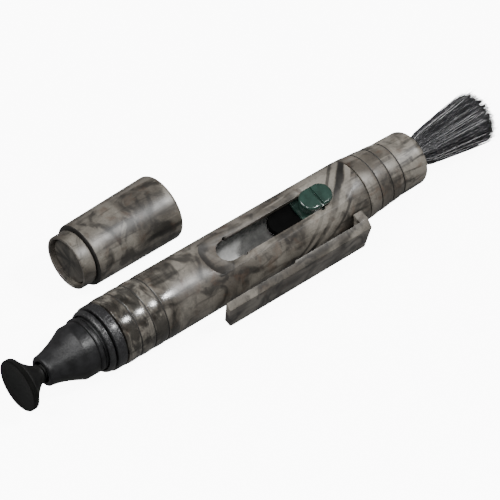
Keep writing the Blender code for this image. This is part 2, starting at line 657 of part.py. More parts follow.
def make_cap(parent):
    """The cap, from its closed end: a recessed collar and disc, the shell, and the cup inside."""
    shell_front = CAP_SHELL_FRONT
    inner = shell_front + CAP_END_WALL
    edge = CAP_ROUND / 2
    outline = [(shell_front, 0.0), (shell_front, CAP_STEP_R - edge), (shell_front + edge, CAP_STEP_R)]
    outline.append((CAP_LENGTH - CAP_ROUND, CAP_OPEN_R))
    outline.append((CAP_LENGTH - CAP_ROUND / 4, CAP_OPEN_R - CAP_ROUND / 3))
    outline += [(CAP_LENGTH, CAP_OPEN_R - CAP_ROUND), (CAP_LENGTH, CAP_BORE_R)]
    outline += [(inner, CAP_BORE_R), (inner, 0.0)]
    add_part(turned("cap_shell", outline), parent, AXIS, (0.2, 0.185, 0.165), 0.4)

    r = CAP_COLLAR_R
    recess_r = r - CAP_RIM
    disc_back = CAP_RECESS + CAP_DISC_T
    floor = disc_back + GAP
    collar = [(floor, 0.0), (floor, recess_r), (CHAMFER, recess_r), (0.0, recess_r + CHAMFER / 2),
              (0.0, r - CHAMFER), (CHAMFER, r), (CAP_COLLAR_LENGTH, r), (CAP_COLLAR_LENGTH, 0.0)]
    add_part(turned("cap_end_collar", collar), parent, AXIS, (0.2, 0.185, 0.165), 0.45)

    disc_r = recess_r - GAP
    disc = [(CAP_RECESS, 0.0), (CAP_RECESS, disc_r), (disc_back, disc_r), (disc_back, 0.0)]
    add_part(turned("cap_end_disc", disc), parent, AXIS, (0.16, 0.155, 0.145), 0.5)

    cup_front = inner + GAP
    cup_back = cup_front + CUP_LENGTH
    cup_r = CAP_BORE_R - GAP
    cup_floor = cup_front + CUP_FLOOR
    cup = [(cup_front, 0.0), (cup_front, cup_r), (cup_back, cup_r), (cup_back, cup_r - CUP_WALL),
           (cup_floor, cup_r - CUP_WALL), (cup_floor, 0.0)]
    add_part(turned("compound_cup", cup, INNER_STEPS), parent, AXIS, (0.02, 0.02, 0.02), 0.5)

    sponge_r = cup_r - CUP_WALL - GAP
    sponge = [(cup_floor + GAP, 0.0), (cup_floor + GAP, sponge_r), (cup_back - GAP / 2, sponge_r),
              (cup_back, sponge_r - CHAMFER), (cup_back, 0.0)]
    add_part(turned("compound_sponge", sponge, INNER_STEPS), parent, AXIS, (0.02, 0.02, 0.02), 0.9)


clear_scene()
PARTS = new_collection(NAME)
CUTTERS = new_collection(NAME + "_cutters")
AXIS = (0.0, 0.0, 0.0)
TIP_PIVOT = (HEAD_BACK, 0.0, 0.0)
NECK_PIVOT = ((NECK_LINK_FRONT + NECK_LINK_BACK) / 2, 0.0, 0.0)

pen = frame_empty("pen_frame", (PEN_X, PEN_Y, BARREL_R), (ROLL, 0.0, 0.0))
cap = frame_empty("cap_frame", (CAP_X, CAP_Y, CAP_OPEN_R), (0.0, 0.0, CAP_YAW))

make_cleaning_pad(pen)
make_tip_head(pen)
make_neck_link(pen)
make_tip_anchor(pen)
make_nose_cone(pen)
make_seal_ring(pen)
make_front_band(pen)
make_barrel(pen)
make_brush_end(pen)
make_slider_button(pen)
make_brush_carrier(pen)
make_brush_ferrule(pen)
make_bristle_tuft(pen)
make_pocket_clip(pen)
make_cap(cap)
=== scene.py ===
"""Looks of the lens cleaning pen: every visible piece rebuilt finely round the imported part.

Sizes are in millimetres and become metres through MM. In the pen's own frame X runs from the
face of the tip to the brush, +Z points out of the thumb slot and -Y towards the clip. In the
cap's own frame X runs from its closed end to its open end. Both frames come from the part.
"""

import json
import math
import random

import bmesh
import bpy
from mathutils import Matrix, Vector


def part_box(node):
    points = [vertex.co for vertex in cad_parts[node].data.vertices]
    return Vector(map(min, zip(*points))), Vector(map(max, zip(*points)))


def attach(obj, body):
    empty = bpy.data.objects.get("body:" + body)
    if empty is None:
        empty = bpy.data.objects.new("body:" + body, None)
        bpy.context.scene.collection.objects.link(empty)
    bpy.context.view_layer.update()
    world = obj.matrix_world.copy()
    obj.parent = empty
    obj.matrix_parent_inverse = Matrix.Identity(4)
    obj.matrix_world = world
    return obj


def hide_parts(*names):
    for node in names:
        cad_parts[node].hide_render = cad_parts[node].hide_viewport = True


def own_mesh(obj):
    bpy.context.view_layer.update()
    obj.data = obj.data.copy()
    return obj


MM = 0.001
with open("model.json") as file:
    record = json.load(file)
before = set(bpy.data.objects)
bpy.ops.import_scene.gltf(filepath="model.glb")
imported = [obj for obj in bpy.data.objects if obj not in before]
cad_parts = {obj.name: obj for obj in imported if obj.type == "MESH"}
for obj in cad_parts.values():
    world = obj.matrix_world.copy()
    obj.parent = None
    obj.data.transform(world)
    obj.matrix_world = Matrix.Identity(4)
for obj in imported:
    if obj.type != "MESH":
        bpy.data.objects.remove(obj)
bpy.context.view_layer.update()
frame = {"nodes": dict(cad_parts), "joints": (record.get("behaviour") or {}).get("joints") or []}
JOINTS = {joint["name"]: joint for joint in frame["joints"]}

# Fineness
STEPS = 144
EDGE = 0.12
ROUND_STEPS = 3
ROUND_SHARE = 0.45
CURVE_STEPS = 18
BODY_STEPS = 30
RAMP_STEPS = 8
DISH_STEPS = 9
BEAD_STEPS = 12
CAP_STEPS = 12
RIB_STEPS = 90
SPONGE_STEPS = 72
NEARLY_STRAIGHT = math.radians(168)
SMOOTH_ANGLE = 35.0
SHARP_MARGIN = 15.0
PARALLEL = 0.999
TINY = 1e-6

# Clearances and details that the part's boxes don't give
GAP = 0.3
CHAMFER = 0.3
PAD_DISH = 0.3
PAD_ROUND = 0.1
NECK_R = 2.0
LINK_CHAMFER = 0.2
HEAD_FLARE = 1.45
NOSE_STEP = 1.5
NOSE_BORE = 2.4
NOSE_BORE_FRONT = 3.0
NOSE_BORE_BACK = 1.0
NOSE_FRONT_R = 3.1
NOSE_CONE_LENGTH = 8.05
NOSE_CONE_HOLLOW = 1.5
RIB_WIDTH = 1.0
RIB_HEIGHT = 0.4
RIB_SWEEP = 250.0
RIB_START = -150.0
RIB_BACKSET = 1.1
RIB_FOOT = 0.2
RIB_SLANT = 0.12
RIB_ROUND = 0.2
RIB_RUN_OUT = 4
BEAD_STEP = 0.1
BEAD_ROUND = 0.1
BAND_ROUND = 0.25
BARREL_DRAFT = 0.25
BARREL_WALL = 1.6
BARREL_BEVEL = 0.18
ROLL_OFF = ((0.0, 0.08), (0.6, 0.03))
ROLL_OFF_LENGTH = 1.6
GROOVE_DEPTH = 0.3
GROOVE_HALF = 0.16
RING_CROWN = 0.1
FRONT_GROOVES = (3.4, 7.0, 10.4)
DECK_DEPTH = 1.4
DECK_WALL = 1.2
DECK_START = 23.9
DECK_LENGTH = 35.3
DECK_RAMP = 4.6
DECK_RAMP_CURVE = 1.3
DECK_SIDE = 0.4
SLOT_WIDTH = 5.2
SLOT_SETBACK = 4.2
SLOT_LENGTH = 30.0
NOTCH_R = 0.5
NOTCH_INSET = 3.6
NOTCH_STAGGER = 1.7
CUT_OVER = 2.0
END_LENGTH = 17.6
END_GROOVE_PITCH = 3.4
END_TAPER = 1.05
END_TAPER_SHARE = 0.74
END_NOSE_ROUND = 1.8
END_GROOVES = (1, 2, 3)
END_CROWN = 0.06
END_LAST_CROWN = 0.04
MOUTH_R = 4.0
MOUTH_LENGTH = 1.8
END_BORE_R = 4.5
BUTTON_HEIGHT = 1.2
BUTTON_LENGTH = 7.9
BUTTON_END_OVER = 0.15
BUTTON_ROUND = 0.5
BUTTON_GROOVE = 0.7
BUTTON_GROOVE_DEPTH = 0.45
BUTTON_BEVEL = 0.1
NECK_SIDE_GAP = 0.4
TAIL_HALF = 3.1
TAIL_T = 1.5
TAIL_BEVEL = 0.2
FERRULE_WALL = 0.5
FERRULE_FLOOR = 1.5
FERRULE_ROUND = 0.15
TUFT_END_R = 6.15
CLIP_GAP = 1.4
CLIP_T = 1.8
CLIP_STEP = 0.3
CLIP_STEP_AT = 17.1
CLIP_HIGH = 4.1
CLIP_SLOPE = 1.2
CLIP_LOW = 4.7
CLIP_END_ROUND = 1.2
CLIP_END_LEAN = 1.6
CLIP_LEAN_SHARE = 0.875
BRIDGE_LENGTH = 2.2
BRIDGE_SINK = 2.0
CLIP_BEVEL = 0.28
SEAT_OVER = 1.0
CAP_COLLAR_R = 6.2
CAP_COLLAR_LENGTH = 3.2
CAP_RIM = 0.85
CAP_RECESS = 1.0
CAP_DRAFT = 0.1
CAP_DISC_T = 0.9
CAP_TAPER = 0.35
CAP_OPEN_DROP = 0.05
CAP_CLEARANCE = 0.3
CAP_END_WALL = 1.0
CAP_ROUND = 0.7
CAP_FRONT_ROUND = 0.25
CAP_COLLAR_ROUND = 0.3
CUP_FLOOR = 0.5
CUP_DEPTH = 2.2
SPONGE_CROWN = 0.35
SPONGE_INSET = 0.1
SPONGE_ROUND = 0.2

# The pen's frame, from the joints and the pad
TIP_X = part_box("cleaning_pad")[0].x
AXIS_Y, AXIS_Z = JOINTS["tip_nod"]["pos_m"][1:]
OUT_OF_SLOT = Vector(JOINTS["clip_spring"]["axis"])
ROLL = math.atan2(-OUT_OF_SLOT.y, OUT_OF_SLOT.z)
PEN = Matrix.Translation((TIP_X, AXIS_Y, AXIS_Z)) @ Matrix.Rotation(ROLL, 4, 'X')


def centre(node):
    low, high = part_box(node)
    return (low + high) / 2


def span(node):
    """Where a node starts and ends along the pen, in millimetres from the face of the tip."""
    low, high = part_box(node)
    return (low.x - TIP_X) / MM, (high.x - TIP_X) / MM


def widest(node):
    """The largest radius of a turned node, in millimetres."""
    low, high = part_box(node)
    return (high.y - low.y) / 2 / MM


# The cap's frame: its line runs through the middles of its disc and its sponge
CAP_LINE = centre("compound_sponge") - centre("cap_end_disc")
CAP_YAW = math.atan2(CAP_LINE.y, CAP_LINE.x)
CAP_FACE = centre("cap_end_disc") - CAP_LINE.normalized() * (CAP_RECESS + CAP_DISC_T / 2) * MM
CAP = Matrix.Translation(CAP_FACE) @ Matrix.Rotation(CAP_YAW, 4, 'Z')

HEAD_FRONT, HEAD_BACK = span("tip_head")
LINK_FRONT, LINK_BACK = span("tip_neck_link")
NOSE_FRONT, SPIGOT_BACK = span("nose_cone")
BEAD_FRONT, BEAD_BACK = span("nose_seal_ring")
BAND_FRONT, BAND_BACK = span("front_band")
BARREL_FRONT, BARREL_BACK = span("barrel_shell")
END_SPIGOT_FRONT, MOUTH = span("brush_end_collar")
FERRULE_FRONT, FERRULE_BACK = span("brush_ferrule")
TUFT_BACK = span("bristle_tuft")[1]
CLIP_TOP_X0, CLIP_X1 = span("pocket_clip")
CLIP_X0 = CLIP_TOP_X0 + CLIP_END_LEAN * CLIP_LEAN_SHARE
TAIL_FRONT, TAIL_BACK = span("carrier_tail")

BARREL_R = AXIS_Z / MM
TIP_R = widest("tip_head")
NOSE_R = BARREL_R - NOSE_STEP
BEAD_R = widest("nose_seal_ring")
BAND_R = widest("front_band")
LINK_R = widest("tip_neck_link")
FERRULE_R = widest("brush_ferrule")
BORE_R = BARREL_R - BARREL_WALL
BARREL_BACK_R = BARREL_R - BARREL_DRAFT
DECK_Z = BARREL_R - DECK_DEPTH
BORE_FLAT = DECK_Z - DECK_WALL
DECK_X0 = BARREL_FRONT + DECK_START
DECK_X1 = DECK_X0 + DECK_LENGTH
SLOT_X0 = DECK_X0 + SLOT_SETBACK
SLOT_X1 = SLOT_X0 + SLOT_LENGTH
SLOT_HALF = SLOT_WIDTH / 2
BUTTON_X1 = SLOT_X1 + BUTTON_END_OVER
BUTTON_X0 = BUTTON_X1 - BUTTON_LENGTH
END_FRONT = MOUTH - END_LENGTH
CLIP_IN = BARREL_R + CLIP_GAP
CLIP_OUT = CLIP_IN + CLIP_T


def shares(count):
    """Even steps from 0 to 1."""
    return [index / count for index in range(count + 1)]


def fillet(points, radius=EDGE, closed=False):
    """Round the corners of a line of (x, r) points."""
    path = [Vector(point) for point in points]
    count = len(path)
    out = []
    for index, corner in enumerate(path):
        if not closed and index in (0, count - 1):
            out.append(corner)
            continue
        to_before = path[index - 1] - corner
        to_after = path[(index + 1) % count] - corner
        shorter = min(to_before.length, to_after.length)
        if shorter < TINY or to_before.angle(to_after) > NEARLY_STRAIGHT:
            out.append(corner)
            continue
        start = corner + to_before.normalized() * min(radius, to_before.length * ROUND_SHARE)
        end = corner + to_after.normalized() * min(radius, to_after.length * ROUND_SHARE)
        for t in shares(ROUND_STEPS):
            out.append(start * (1 - t) ** 2 + corner * 2 * t * (1 - t) + end * t ** 2)
    return [(point.x, point.y) for point in out]


def arc(middle, radius, start, end, steps=12):
    """Points on an arc, with its angles in degrees."""
    points = []
    for index in range(steps + 1):
        angle = math.radians(start + (end - start) * index / steps)
        points.append((middle[0] + radius * math.cos(angle), middle[1] + radius * math.sin(angle)))
    return points


def add_object(name, data, place=Matrix()):
    obj = bpy.data.objects.new(name, data)
    bpy.context.scene.collection.objects.link(obj)
    obj.matrix_world = place
    return obj


def smooth(mesh, angle=SMOOTH_ANGLE):
    """Shade smooth, but keep the edges sharper than an angle in degrees."""
    mesh.shade_smooth()
    mesh.set_sharp_from_angle(angle=math.radians(angle))


def add_mesh(name, verts, faces, place=PEN, angle=SMOOTH_ANGLE):
    """An object with its faces turned outward and its sharp edges kept."""
    mesh = bpy.data.meshes.new(name)
    mesh.from_pydata([Vector(vert) * MM for vert in verts], [], faces)
    shape = bmesh.new()
    shape.from_mesh(mesh)
    bmesh.ops.recalc_face_normals(shape, faces=shape.faces)
    shape.to_mesh(mesh)
    shape.free()
    smooth(mesh, angle)
    return add_object(name, mesh, place)


def lathe(name, outline, place=PEN, closed=False, steps=STEPS):
    """Turn (x, r) points round X. Points on the axis become poles."""
    verts = []
    rings = []
    for x, r in outline:
        first = len(verts)
        if r < TINY:
            verts.append((x, 0.0, 0.0))
            rings.append([first])
            continue
        for step in range(steps):
            angle = math.tau * step / steps
            verts.append((x, r * math.cos(angle), r * math.sin(angle)))
        rings.append(list(range(first, first + steps)))
    faces = []
    pairs = list(zip(rings, rings[1:]))
    if closed:
        pairs.append((rings[-1], rings[0]))
    for one, two in pairs:
        for step in range(steps):
            after = (step + 1) % steps
            if len(one) == 1 and len(two) == 1:
                continue
            if len(one) == 1:
                faces.append((one[0], two[after], two[step]))
            elif len(two) == 1:
                faces.append((one[step], one[after], two[0]))
            else:
                faces.append((one[step], one[after], two[after], two[step]))
    return add_mesh(name, verts, faces, place)


def join_outlines(name, one, two):
    """A solid in the pen's frame between two matching closed outlines."""
    count = len(one)
    faces = [tuple(range(count)), tuple(range(2 * count - 1, count - 1, -1))]
    for index in range(count):
        after = (index + 1) % count
        faces.append((index, after, after + count, index + count))
    return add_mesh(name, one + two, faces)


def prism(name, outline, low, high, along='Z'):
    """A closed outline in X and Y made solid along Z, or one in X and Z made solid along Y."""
    if along == 'Z':
        one, two = ([(x, y, level) for x, y in outline] for level in (low, high))
    else:
        one, two = ([(x, level, z) for x, z in outline] for level in (low, high))
    return join_outlines(name, one, two)


def bar(name, section, x0, x1):
    """A closed section in Y and Z, made solid from x0 to x1."""
    one, two = ([(x, y, z) for y, z in section] for x in (x0, x1))
    return join_outlines(name, one, two)


def stadium(x0, x1, half):
    """A slot outline with two round ends."""
    return arc((x1 - half, 0.0), half, -90, 90, 20) + arc((x0 + half, 0.0), half, 90, 270, 20)


def apply_modifiers(obj):
    graph = bpy.context.evaluated_depsgraph_get()
    mesh = bpy.data.meshes.new_from_object(obj.evaluated_get(graph))
    obj.modifiers.clear()
    obj.data = mesh


def combine(obj, others, operation):
    """Cut with, or join to, the other solids, which are then removed."""
    for other in others:
        modifier = obj.modifiers.new("Combine", 'BOOLEAN')
        modifier.operation = operation
        modifier.solver = 'EXACT'
        modifier.object = other
    bpy.context.view_layer.update()
    apply_modifiers(obj)
    for other in others:
        bpy.data.objects.remove(other, do_unlink=True)


def soften(obj, width, segments, angle):
    """Round the sharp edges with a bevel, and shade the rest smooth."""
    bevel = obj.modifiers.new("Soften", 'BEVEL')
    bevel.width = width * MM
    bevel.segments = segments
    bevel.limit_method = 'ANGLE'
    bevel.angle_limit = math.radians(angle)
    bevel.use_clamp_overlap = True
    bpy.context.view_layer.update()
    apply_modifiers(obj)
    smooth(obj.data, angle + SHARP_MARGIN)


def round_end(obj, x, radius, along, segments=12):
    """Round the corners at one end of a plate, whose edges there run along the given axis."""
    shape = bmesh.new()
    shape.from_mesh(obj.data)
    corners = []
    for edge in shape.edges:
        ends = [vert.co for vert in edge.verts]
        at_end = all(abs(end.x - x * MM) < TINY for end in ends)
        if at_end and abs((ends[0] - ends[1]).normalized()[along]) > PARALLEL:
            corners.append(edge)
    bmesh.ops.bevel(shape, geom=corners, offset=radius * MM, segments=segments, profile=0.5,
                    affect='EDGES')
    shape.to_mesh(obj.data)
    shape.free()


def lean_end(obj, x, reach, low, high, amount):
    """Slant one end of a plate, so that its upper corner stands further out."""
    for vert in obj.data.vertices:
        if vert.co.x < (x + reach) * MM + TINY:
            share = (vert.co.z / MM - low) / (high - low)
            vert.co.x -= amount * share * MM


# Materials


class Graph:
    """A procedural material, built node by node."""

    def __init__(self, name, roughness, specular=0.5, coat=0.0, coat_roughness=0.2):
        self.material = bpy.data.materials.new(name)
        self.material.use_nodes = True
        self.tree = self.material.node_tree
        self.shader = self.tree.nodes["Principled BSDF"]
        self.shader.inputs["Roughness"].default_value = roughness
        self.shader.inputs["Specular IOR Level"].default_value = specular
        self.shader.inputs["Coat Weight"].default_value = coat
        self.shader.inputs["Coat Roughness"].default_value = coat_roughness
        self.coords = self.add("ShaderNodeTexCoord").outputs["Object"]

    def add(self, kind, **settings):
        node = self.tree.nodes.new(kind)
        for key, value in settings.items():
            setattr(node, key, value)
        return node

    def feed(self, socket, value):
        if isinstance(value, bpy.types.NodeSocket):
            self.tree.links.new(value, socket)
        elif isinstance(value, tuple) and len(value) == 3 and len(socket.default_value) == 4:
            socket.default_value = (*value, 1.0)
        else:
            socket.default_value = value

    def math(self, operation, *values):
        node = self.add("ShaderNodeMath", operation=operation)
        for socket, value in zip(node.inputs, values):
            self.feed(socket, value)
        return node.outputs[0]

    def times(self, one, two):
        return self.math('MULTIPLY', one, two)

    def ramp(self, value, low, high, out_low=0.0, out_high=1.0):
        """A smooth step from out_low at low to out_high at high."""
        node = self.add("ShaderNodeMapRange", interpolation_type='SMOOTHSTEP')
        for socket, item in zip(node.inputs, (value, low, high, out_low, out_high)):
            self.feed(socket, item)
        return node.outputs[0]

    def scaled(self, vector, scale=(1.0, 1.0, 1.0), turn=(0.0, 0.0, 0.0), shift=(0.0, 0.0, 0.0)):
        node = self.add("ShaderNodeMapping")
        self.feed(node.inputs["Vector"], vector)
        node.inputs["Scale"].default_value = scale
        node.inputs["Rotation"].default_value = turn
        node.inputs["Location"].default_value = shift
        return node.outputs[0]

    def solid(self, shift=(0.0, 0.0, 0.0)):
        """The piece's own coordinates, in millimetres."""
        return self.scaled(self.coords, (1 / MM,) * 3, shift=shift)

    def cells(self, vector, scale, feature):
        """The distance to the nearest of many scattered points."""
        node = self.add("ShaderNodeTexVoronoi", feature=feature)
        self.feed(node.inputs["Vector"], vector)
        node.inputs["Scale"].default_value = scale
        return node.outputs["Distance"]

    def noise(self, vector, scale, detail=3.0, rough=0.5, distortion=0.0):
        node = self.add("ShaderNodeTexNoise")
        self.feed(node.inputs["Vector"], vector)
        node.inputs["Scale"].default_value = scale
        node.inputs["Detail"].default_value = detail
        node.inputs["Roughness"].default_value = rough
        node.inputs["Distortion"].default_value = distortion
        return node.outputs["Fac"]

    def mix(self, factor, one, two, blend='MIX'):
        node = self.add("ShaderNodeMix", data_type='RGBA', blend_type=blend)
        self.feed(node.inputs[0], factor)
        self.feed(node.inputs[6], one)
        self.feed(node.inputs[7], two)
        return node.outputs[2]

    def bump(self, height, strength, distance, onto=None):
        node = self.add("ShaderNodeBump")
        node.inputs["Strength"].default_value = strength
        node.inputs["Distance"].default_value = distance * MM
        self.feed(node.inputs["Height"], height)
        if onto is not None:
            self.feed(node.inputs["Normal"], onto)
        return node.outputs[0]

    def finish(self, colour, roughness=None, normal=None):
        self.feed(self.shader.inputs["Base Color"], colour)
        if roughness is not None:
            self.feed(self.shader.inputs["Roughness"], roughness)
        if normal is not None:
            self.feed(self.shader.inputs["Normal"], normal)
        return self.material


def srgb(red, green, blue):
    """Scene-linear colour from 0-255 display values."""
    def linear(value):
        value /= 255
        return value / 12.92 if value <= 0.04045 else ((value + 0.055) / 1.055) ** 2.4
    return linear(red), linear(green), linear(blue)


CAMO_MID = srgb(82, 77, 70)
CAMO_LIGHT = srgb(132, 127, 118)
CAMO_DARK = srgb(26, 24, 21)
CAMO_WARM = srgb(82, 63, 49)
BLACK = (0.0, 0.0, 0.0)
# Where bark streaks fade in and out along the barrel, in metres
BARK_ZONE = ((0.058, 0.072), (0.098, 0.088))
# Behind the barrel's front edge, where its dark blotches start and end to fade
DUSK_ZONE = (8.0, 22.0)
# Behind the last front groove, where the gloss starts and ends to fade, in metres
GLOSS_FADE = (0.0015, 0.006)


def camo(name, slot_shift=0.0, along=False, branches=False, shade=1.0):
    """Printed satin plastic: grey-brown blotches, bark-like streaks and fine mottling, and on the
    barrel a painted shadow inside the deck's round end.
    """
    g = Graph(name, 0.4, specular=0.55)
    split = g.add("ShaderNodeSeparateXYZ")
    g.feed(split.inputs[0], g.coords)
    x, y, z = split.outputs
    across = g.times(g.math('ARCTAN2', g.times(y, -1.0), z), BARREL_R * MM)
    flat = g.add("ShaderNodeCombineXYZ")
    g.feed(flat.inputs[0], x)
    g.feed(flat.inputs[1], across)
    flat = g.scaled(flat.outputs[0], (1 / MM,) * 3, shift=(slot_shift, 0.0, slot_shift))
    solid = g.solid((slot_shift, slot_shift, 0.0))

    blotch = g.noise(solid, 0.11, 2.0, 0.45, 0.6)
    patch = g.noise(g.scaled(solid, (1.0, 0.7, 0.7), shift=(31.0, 7.0, 3.0)), 0.24, 4.0, 0.55, 1.2)
    smear_turn = 0.0 if along else math.radians(78)
    streaky = g.scaled(flat, (0.09, 0.55, 1.0), turn=(0.0, 0.0, smear_turn))
    smear = g.noise(streaky, 1.0, 4.0, 0.6, 0.8)
    colour = g.mix(g.ramp(blotch, 0.35, 0.65), CAMO_MID, CAMO_LIGHT)
    colour = g.mix(g.ramp(patch, 0.46, 0.66, 0.0, 0.8), colour, CAMO_DARK)
    colour = g.mix(g.ramp(smear, 0.5, 0.7, 0.0, 0.7), colour, CAMO_DARK)
    warm = g.noise(g.scaled(solid, shift=(5.0, 40.0, 9.0)), 0.34, 3.0, 0.6, 0.5)
    colour = g.mix(g.ramp(warm, 0.52, 0.74, 0.0, 0.5), colour, CAMO_WARM)

    bark_turn = math.radians(0 if along else -45)
    bark = g.scaled(flat, (0.055, 0.42, 1.0), turn=(0.0, 0.0, -bark_turn))
    grain = g.noise(bark, 1.0, 5.0, 0.55, 0.35)
    if branches:
        fade_in, fade_out = BARK_ZONE
        strength = g.times(g.ramp(x, *fade_in), g.ramp(x, *fade_out))
    else:
        where = g.noise(g.scaled(solid, shift=(-12.0, 3.0, 60.0)), 0.09, 1.0, 0.5)
        strength = g.ramp(where, 0.42, 0.6)
    colour = g.mix(g.times(g.ramp(grain, 0.55, 0.66, 0.0, 0.85), strength), colour, CAMO_DARK)
    colour = g.mix(g.times(g.ramp(grain, 0.46, 0.38, 0.0, 0.6), strength), colour, CAMO_LIGHT)
    if branches:
        colour = add_branches(g, colour, flat)
        # Painted shadow: the deck is darkened inside its round end
        colour = add_deck_shadow(g, colour, x, y, z)
        starts, ends = ((BARREL_FRONT + distance) * MM for distance in DUSK_ZONE)
        front = g.ramp(x, starts, ends, 1.0, 0.0)
        dusk = g.noise(g.scaled(solid, (1.3, 0.6, 0.6), shift=(14.0, 2.0, 5.0)), 0.3, 3.0, 0.6, 0.6)
        colour = g.mix(g.times(front, g.ramp(dusk, 0.36, 0.58, 0.12, 0.85)), colour, CAMO_DARK)

    mottle = g.noise(solid, 2.6, 4.0, 0.65)
    colour = g.mix(g.ramp(mottle, 0.3, 0.7, 0.0, 0.45), colour, g.mix(0.5, colour, BLACK))
    if shade != 1.0:
        colour = g.mix(1.0, colour, (shade,) * 3, 'MULTIPLY')
    fine = g.noise(solid, 7.0, 3.0, 0.6)
    rough = g.ramp(patch, 0.2, 0.8, 0.36, 0.48)
    if branches:
        # The front rings are glossier than the rest of the barrel
        ring_end = (BARREL_FRONT + FRONT_GROOVES[-1]) * MM
        dull = g.ramp(x, *(ring_end + distance for distance in GLOSS_FADE))
        rough = g.mix(dull, g.ramp(patch, 0.2, 0.8, 0.16, 0.21), rough)
    normal = g.bump(fine, 0.12, 0.04)
    normal = g.bump(mottle, 0.15, 0.08, normal)
    return g.finish(colour, rough, normal)


# Bark-like streaks near the button: middle, half width, tone and amount
STREAKS = (
    (56.9, 0.5, CAMO_DARK, 0.75),
    (58.0, 0.6, CAMO_LIGHT, 0.6),
    (59.3, 0.8, CAMO_DARK, 1.0),
    (60.7, 0.7, CAMO_LIGHT, 0.9),
    (62.6, 0.45, CAMO_DARK, 0.75),
    (65.2, 0.9, CAMO_DARK, 0.45),
)
STREAK_TURN = math.radians(45)
STREAK_EDGE = 0.55


def add_branches(g, colour, flat):
    """Lay the streaks over a colour, wobbling and fading along their length."""
    split = g.add("ShaderNodeSeparateXYZ")
    g.feed(split.inputs[0], flat)
    turned = g.math('ADD', g.times(split.outputs[0], math.sin(STREAK_TURN)),
                    g.times(split.outputs[1], math.cos(STREAK_TURN)))
    wobble = g.noise(flat, 0.12, 1.0, 0.5)
    place = g.math('ADD', turned, g.ramp(wobble, 0.2, 0.8, -0.5, 0.5))
    patchy = g.noise(g.scaled(flat, shift=(3.0, 17.0, 0.0)), 0.12, 2.0, 0.5)
    fade = g.ramp(patchy, 0.3, 0.55, 0.35, 1.0)
    for middle, half, tone, amount in STREAKS:
        away = g.math('ABSOLUTE', g.math('SUBTRACT', place, middle))
        mask = g.times(g.ramp(away, half, half * STREAK_EDGE, 0.0, amount), fade)
        colour = g.mix(mask, colour, tone)
    return colour


def add_deck_shadow(g, colour, x, y, z):
    """A painted shadow: a dark band on the deck inside its round end, where the end wall shades it.
    """
    round_r = math.sqrt(BARREL_R ** 2 - DECK_Z ** 2)
    middle = DECK_X0 + round_r
    before = g.math('MINIMUM', g.math('SUBTRACT', x, middle * MM), 0.0)
    away = g.math('SQRT', g.math('ADD', g.times(before, before), g.times(y, y)))
    wobble = g.noise(g.solid(), 0.5, 2.0, 0.5)
    away = g.math('ADD', away, g.ramp(wobble, 0.3, 0.7, -0.0004, 0.0004))
    mask = g.ramp(away, (round_r - 2.2) * MM, (round_r - 1.2) * MM, 0.0, 0.85)
    mask = g.times(mask, g.ramp(x, (middle + 0.5) * MM, (middle - 1.5) * MM))
    mask = g.times(mask, g.ramp(away, (round_r + 1.0) * MM, (round_r + 0.6) * MM))
    for low, high in ((DECK_Z + 0.25, DECK_Z + 0.1), (DECK_Z - 0.25, DECK_Z - 0.1)):
        mask = g.times(mask, g.ramp(z, low * MM, high * MM))
    return g.mix(mask, colour, CAMO_DARK)


def moulded(name, rgb, roughness, bump=0.1, scale=6.0, specular=0.5, coat=0.0, variation=0.25):
    """Plain moulded plastic with a fine uneven surface."""
    g = Graph(name, roughness, specular=specular, coat=coat, coat_roughness=0.15)
    solid = g.solid()
    grain = g.noise(solid, scale, 4.0, 0.6)
    cloud = g.noise(solid, 0.5, 3.0, 0.55)
    darker = tuple(channel * (1 - variation) for channel in rgb)
    lighter = tuple(channel * (1 + variation) for channel in rgb)
    colour = g.mix(g.ramp(cloud, 0.3, 0.7), darker, lighter)
    rough = g.ramp(cloud, 0.25, 0.75, roughness * 0.88, min(1.0, roughness * 1.12))
    return g.finish(colour, rough, g.bump(grain, bump, 0.08))


def leathery(name):
    """Black plastic with the crinkled grain of the two front rings."""
    g = Graph(name, 0.3, specular=0.55, coat=0.3, coat_roughness=0.2)
    solid = g.solid()
    crinkle = g.noise(solid, 2.4, 4.0, 0.6, 1.4)
    height = g.math('ADD', g.cells(solid, 1.9, 'SMOOTH_F1'), crinkle)
    colour = g.mix(g.ramp(crinkle, 0.35, 0.7), srgb(22, 22, 23), srgb(38, 38, 39))
    return g.finish(colour, g.ramp(crinkle, 0.3, 0.7, 0.28, 0.42), g.bump(height, 0.55, 0.22))


def suede(name):
    """The soft napped face of the cleaning pad."""
    g = Graph(name, 0.95, specular=0.08)
    g.shader.inputs["Sheen Weight"].default_value = 0.04
    g.shader.inputs["Sheen Roughness"].default_value = 0.5
    solid = g.solid()
    nap = g.noise(solid, 5.0, 5.0, 0.7)
    brushed = g.noise(g.scaled(solid, (1.0, 0.3, 1.4)), 1.2, 3.0, 0.5, 1.0)
    colour = g.mix(g.ramp(brushed, 0.35, 0.65), srgb(9, 9, 8), srgb(16, 16, 15))
    return g.finish(colour, None, g.bump(nap, 0.5, 0.12))


def foam(name):
    """Black open foam, charged with a dark powder."""
    g = Graph(name, 0.95, specular=0.2)
    solid = g.solid()
    pores = g.ramp(g.cells(solid, 2.6, 'F1'), 0.1, 0.55)
    dust = g.noise(solid, 4.0, 3.0, 0.6)
    colour = g.mix(pores, srgb(14, 14, 14), srgb(52, 52, 54))
    colour = g.mix(g.ramp(dust, 0.5, 0.8, 0.0, 0.5), colour, srgb(70, 70, 72))
    return g.finish(colour, None, g.bump(pores, 0.8, 0.3))


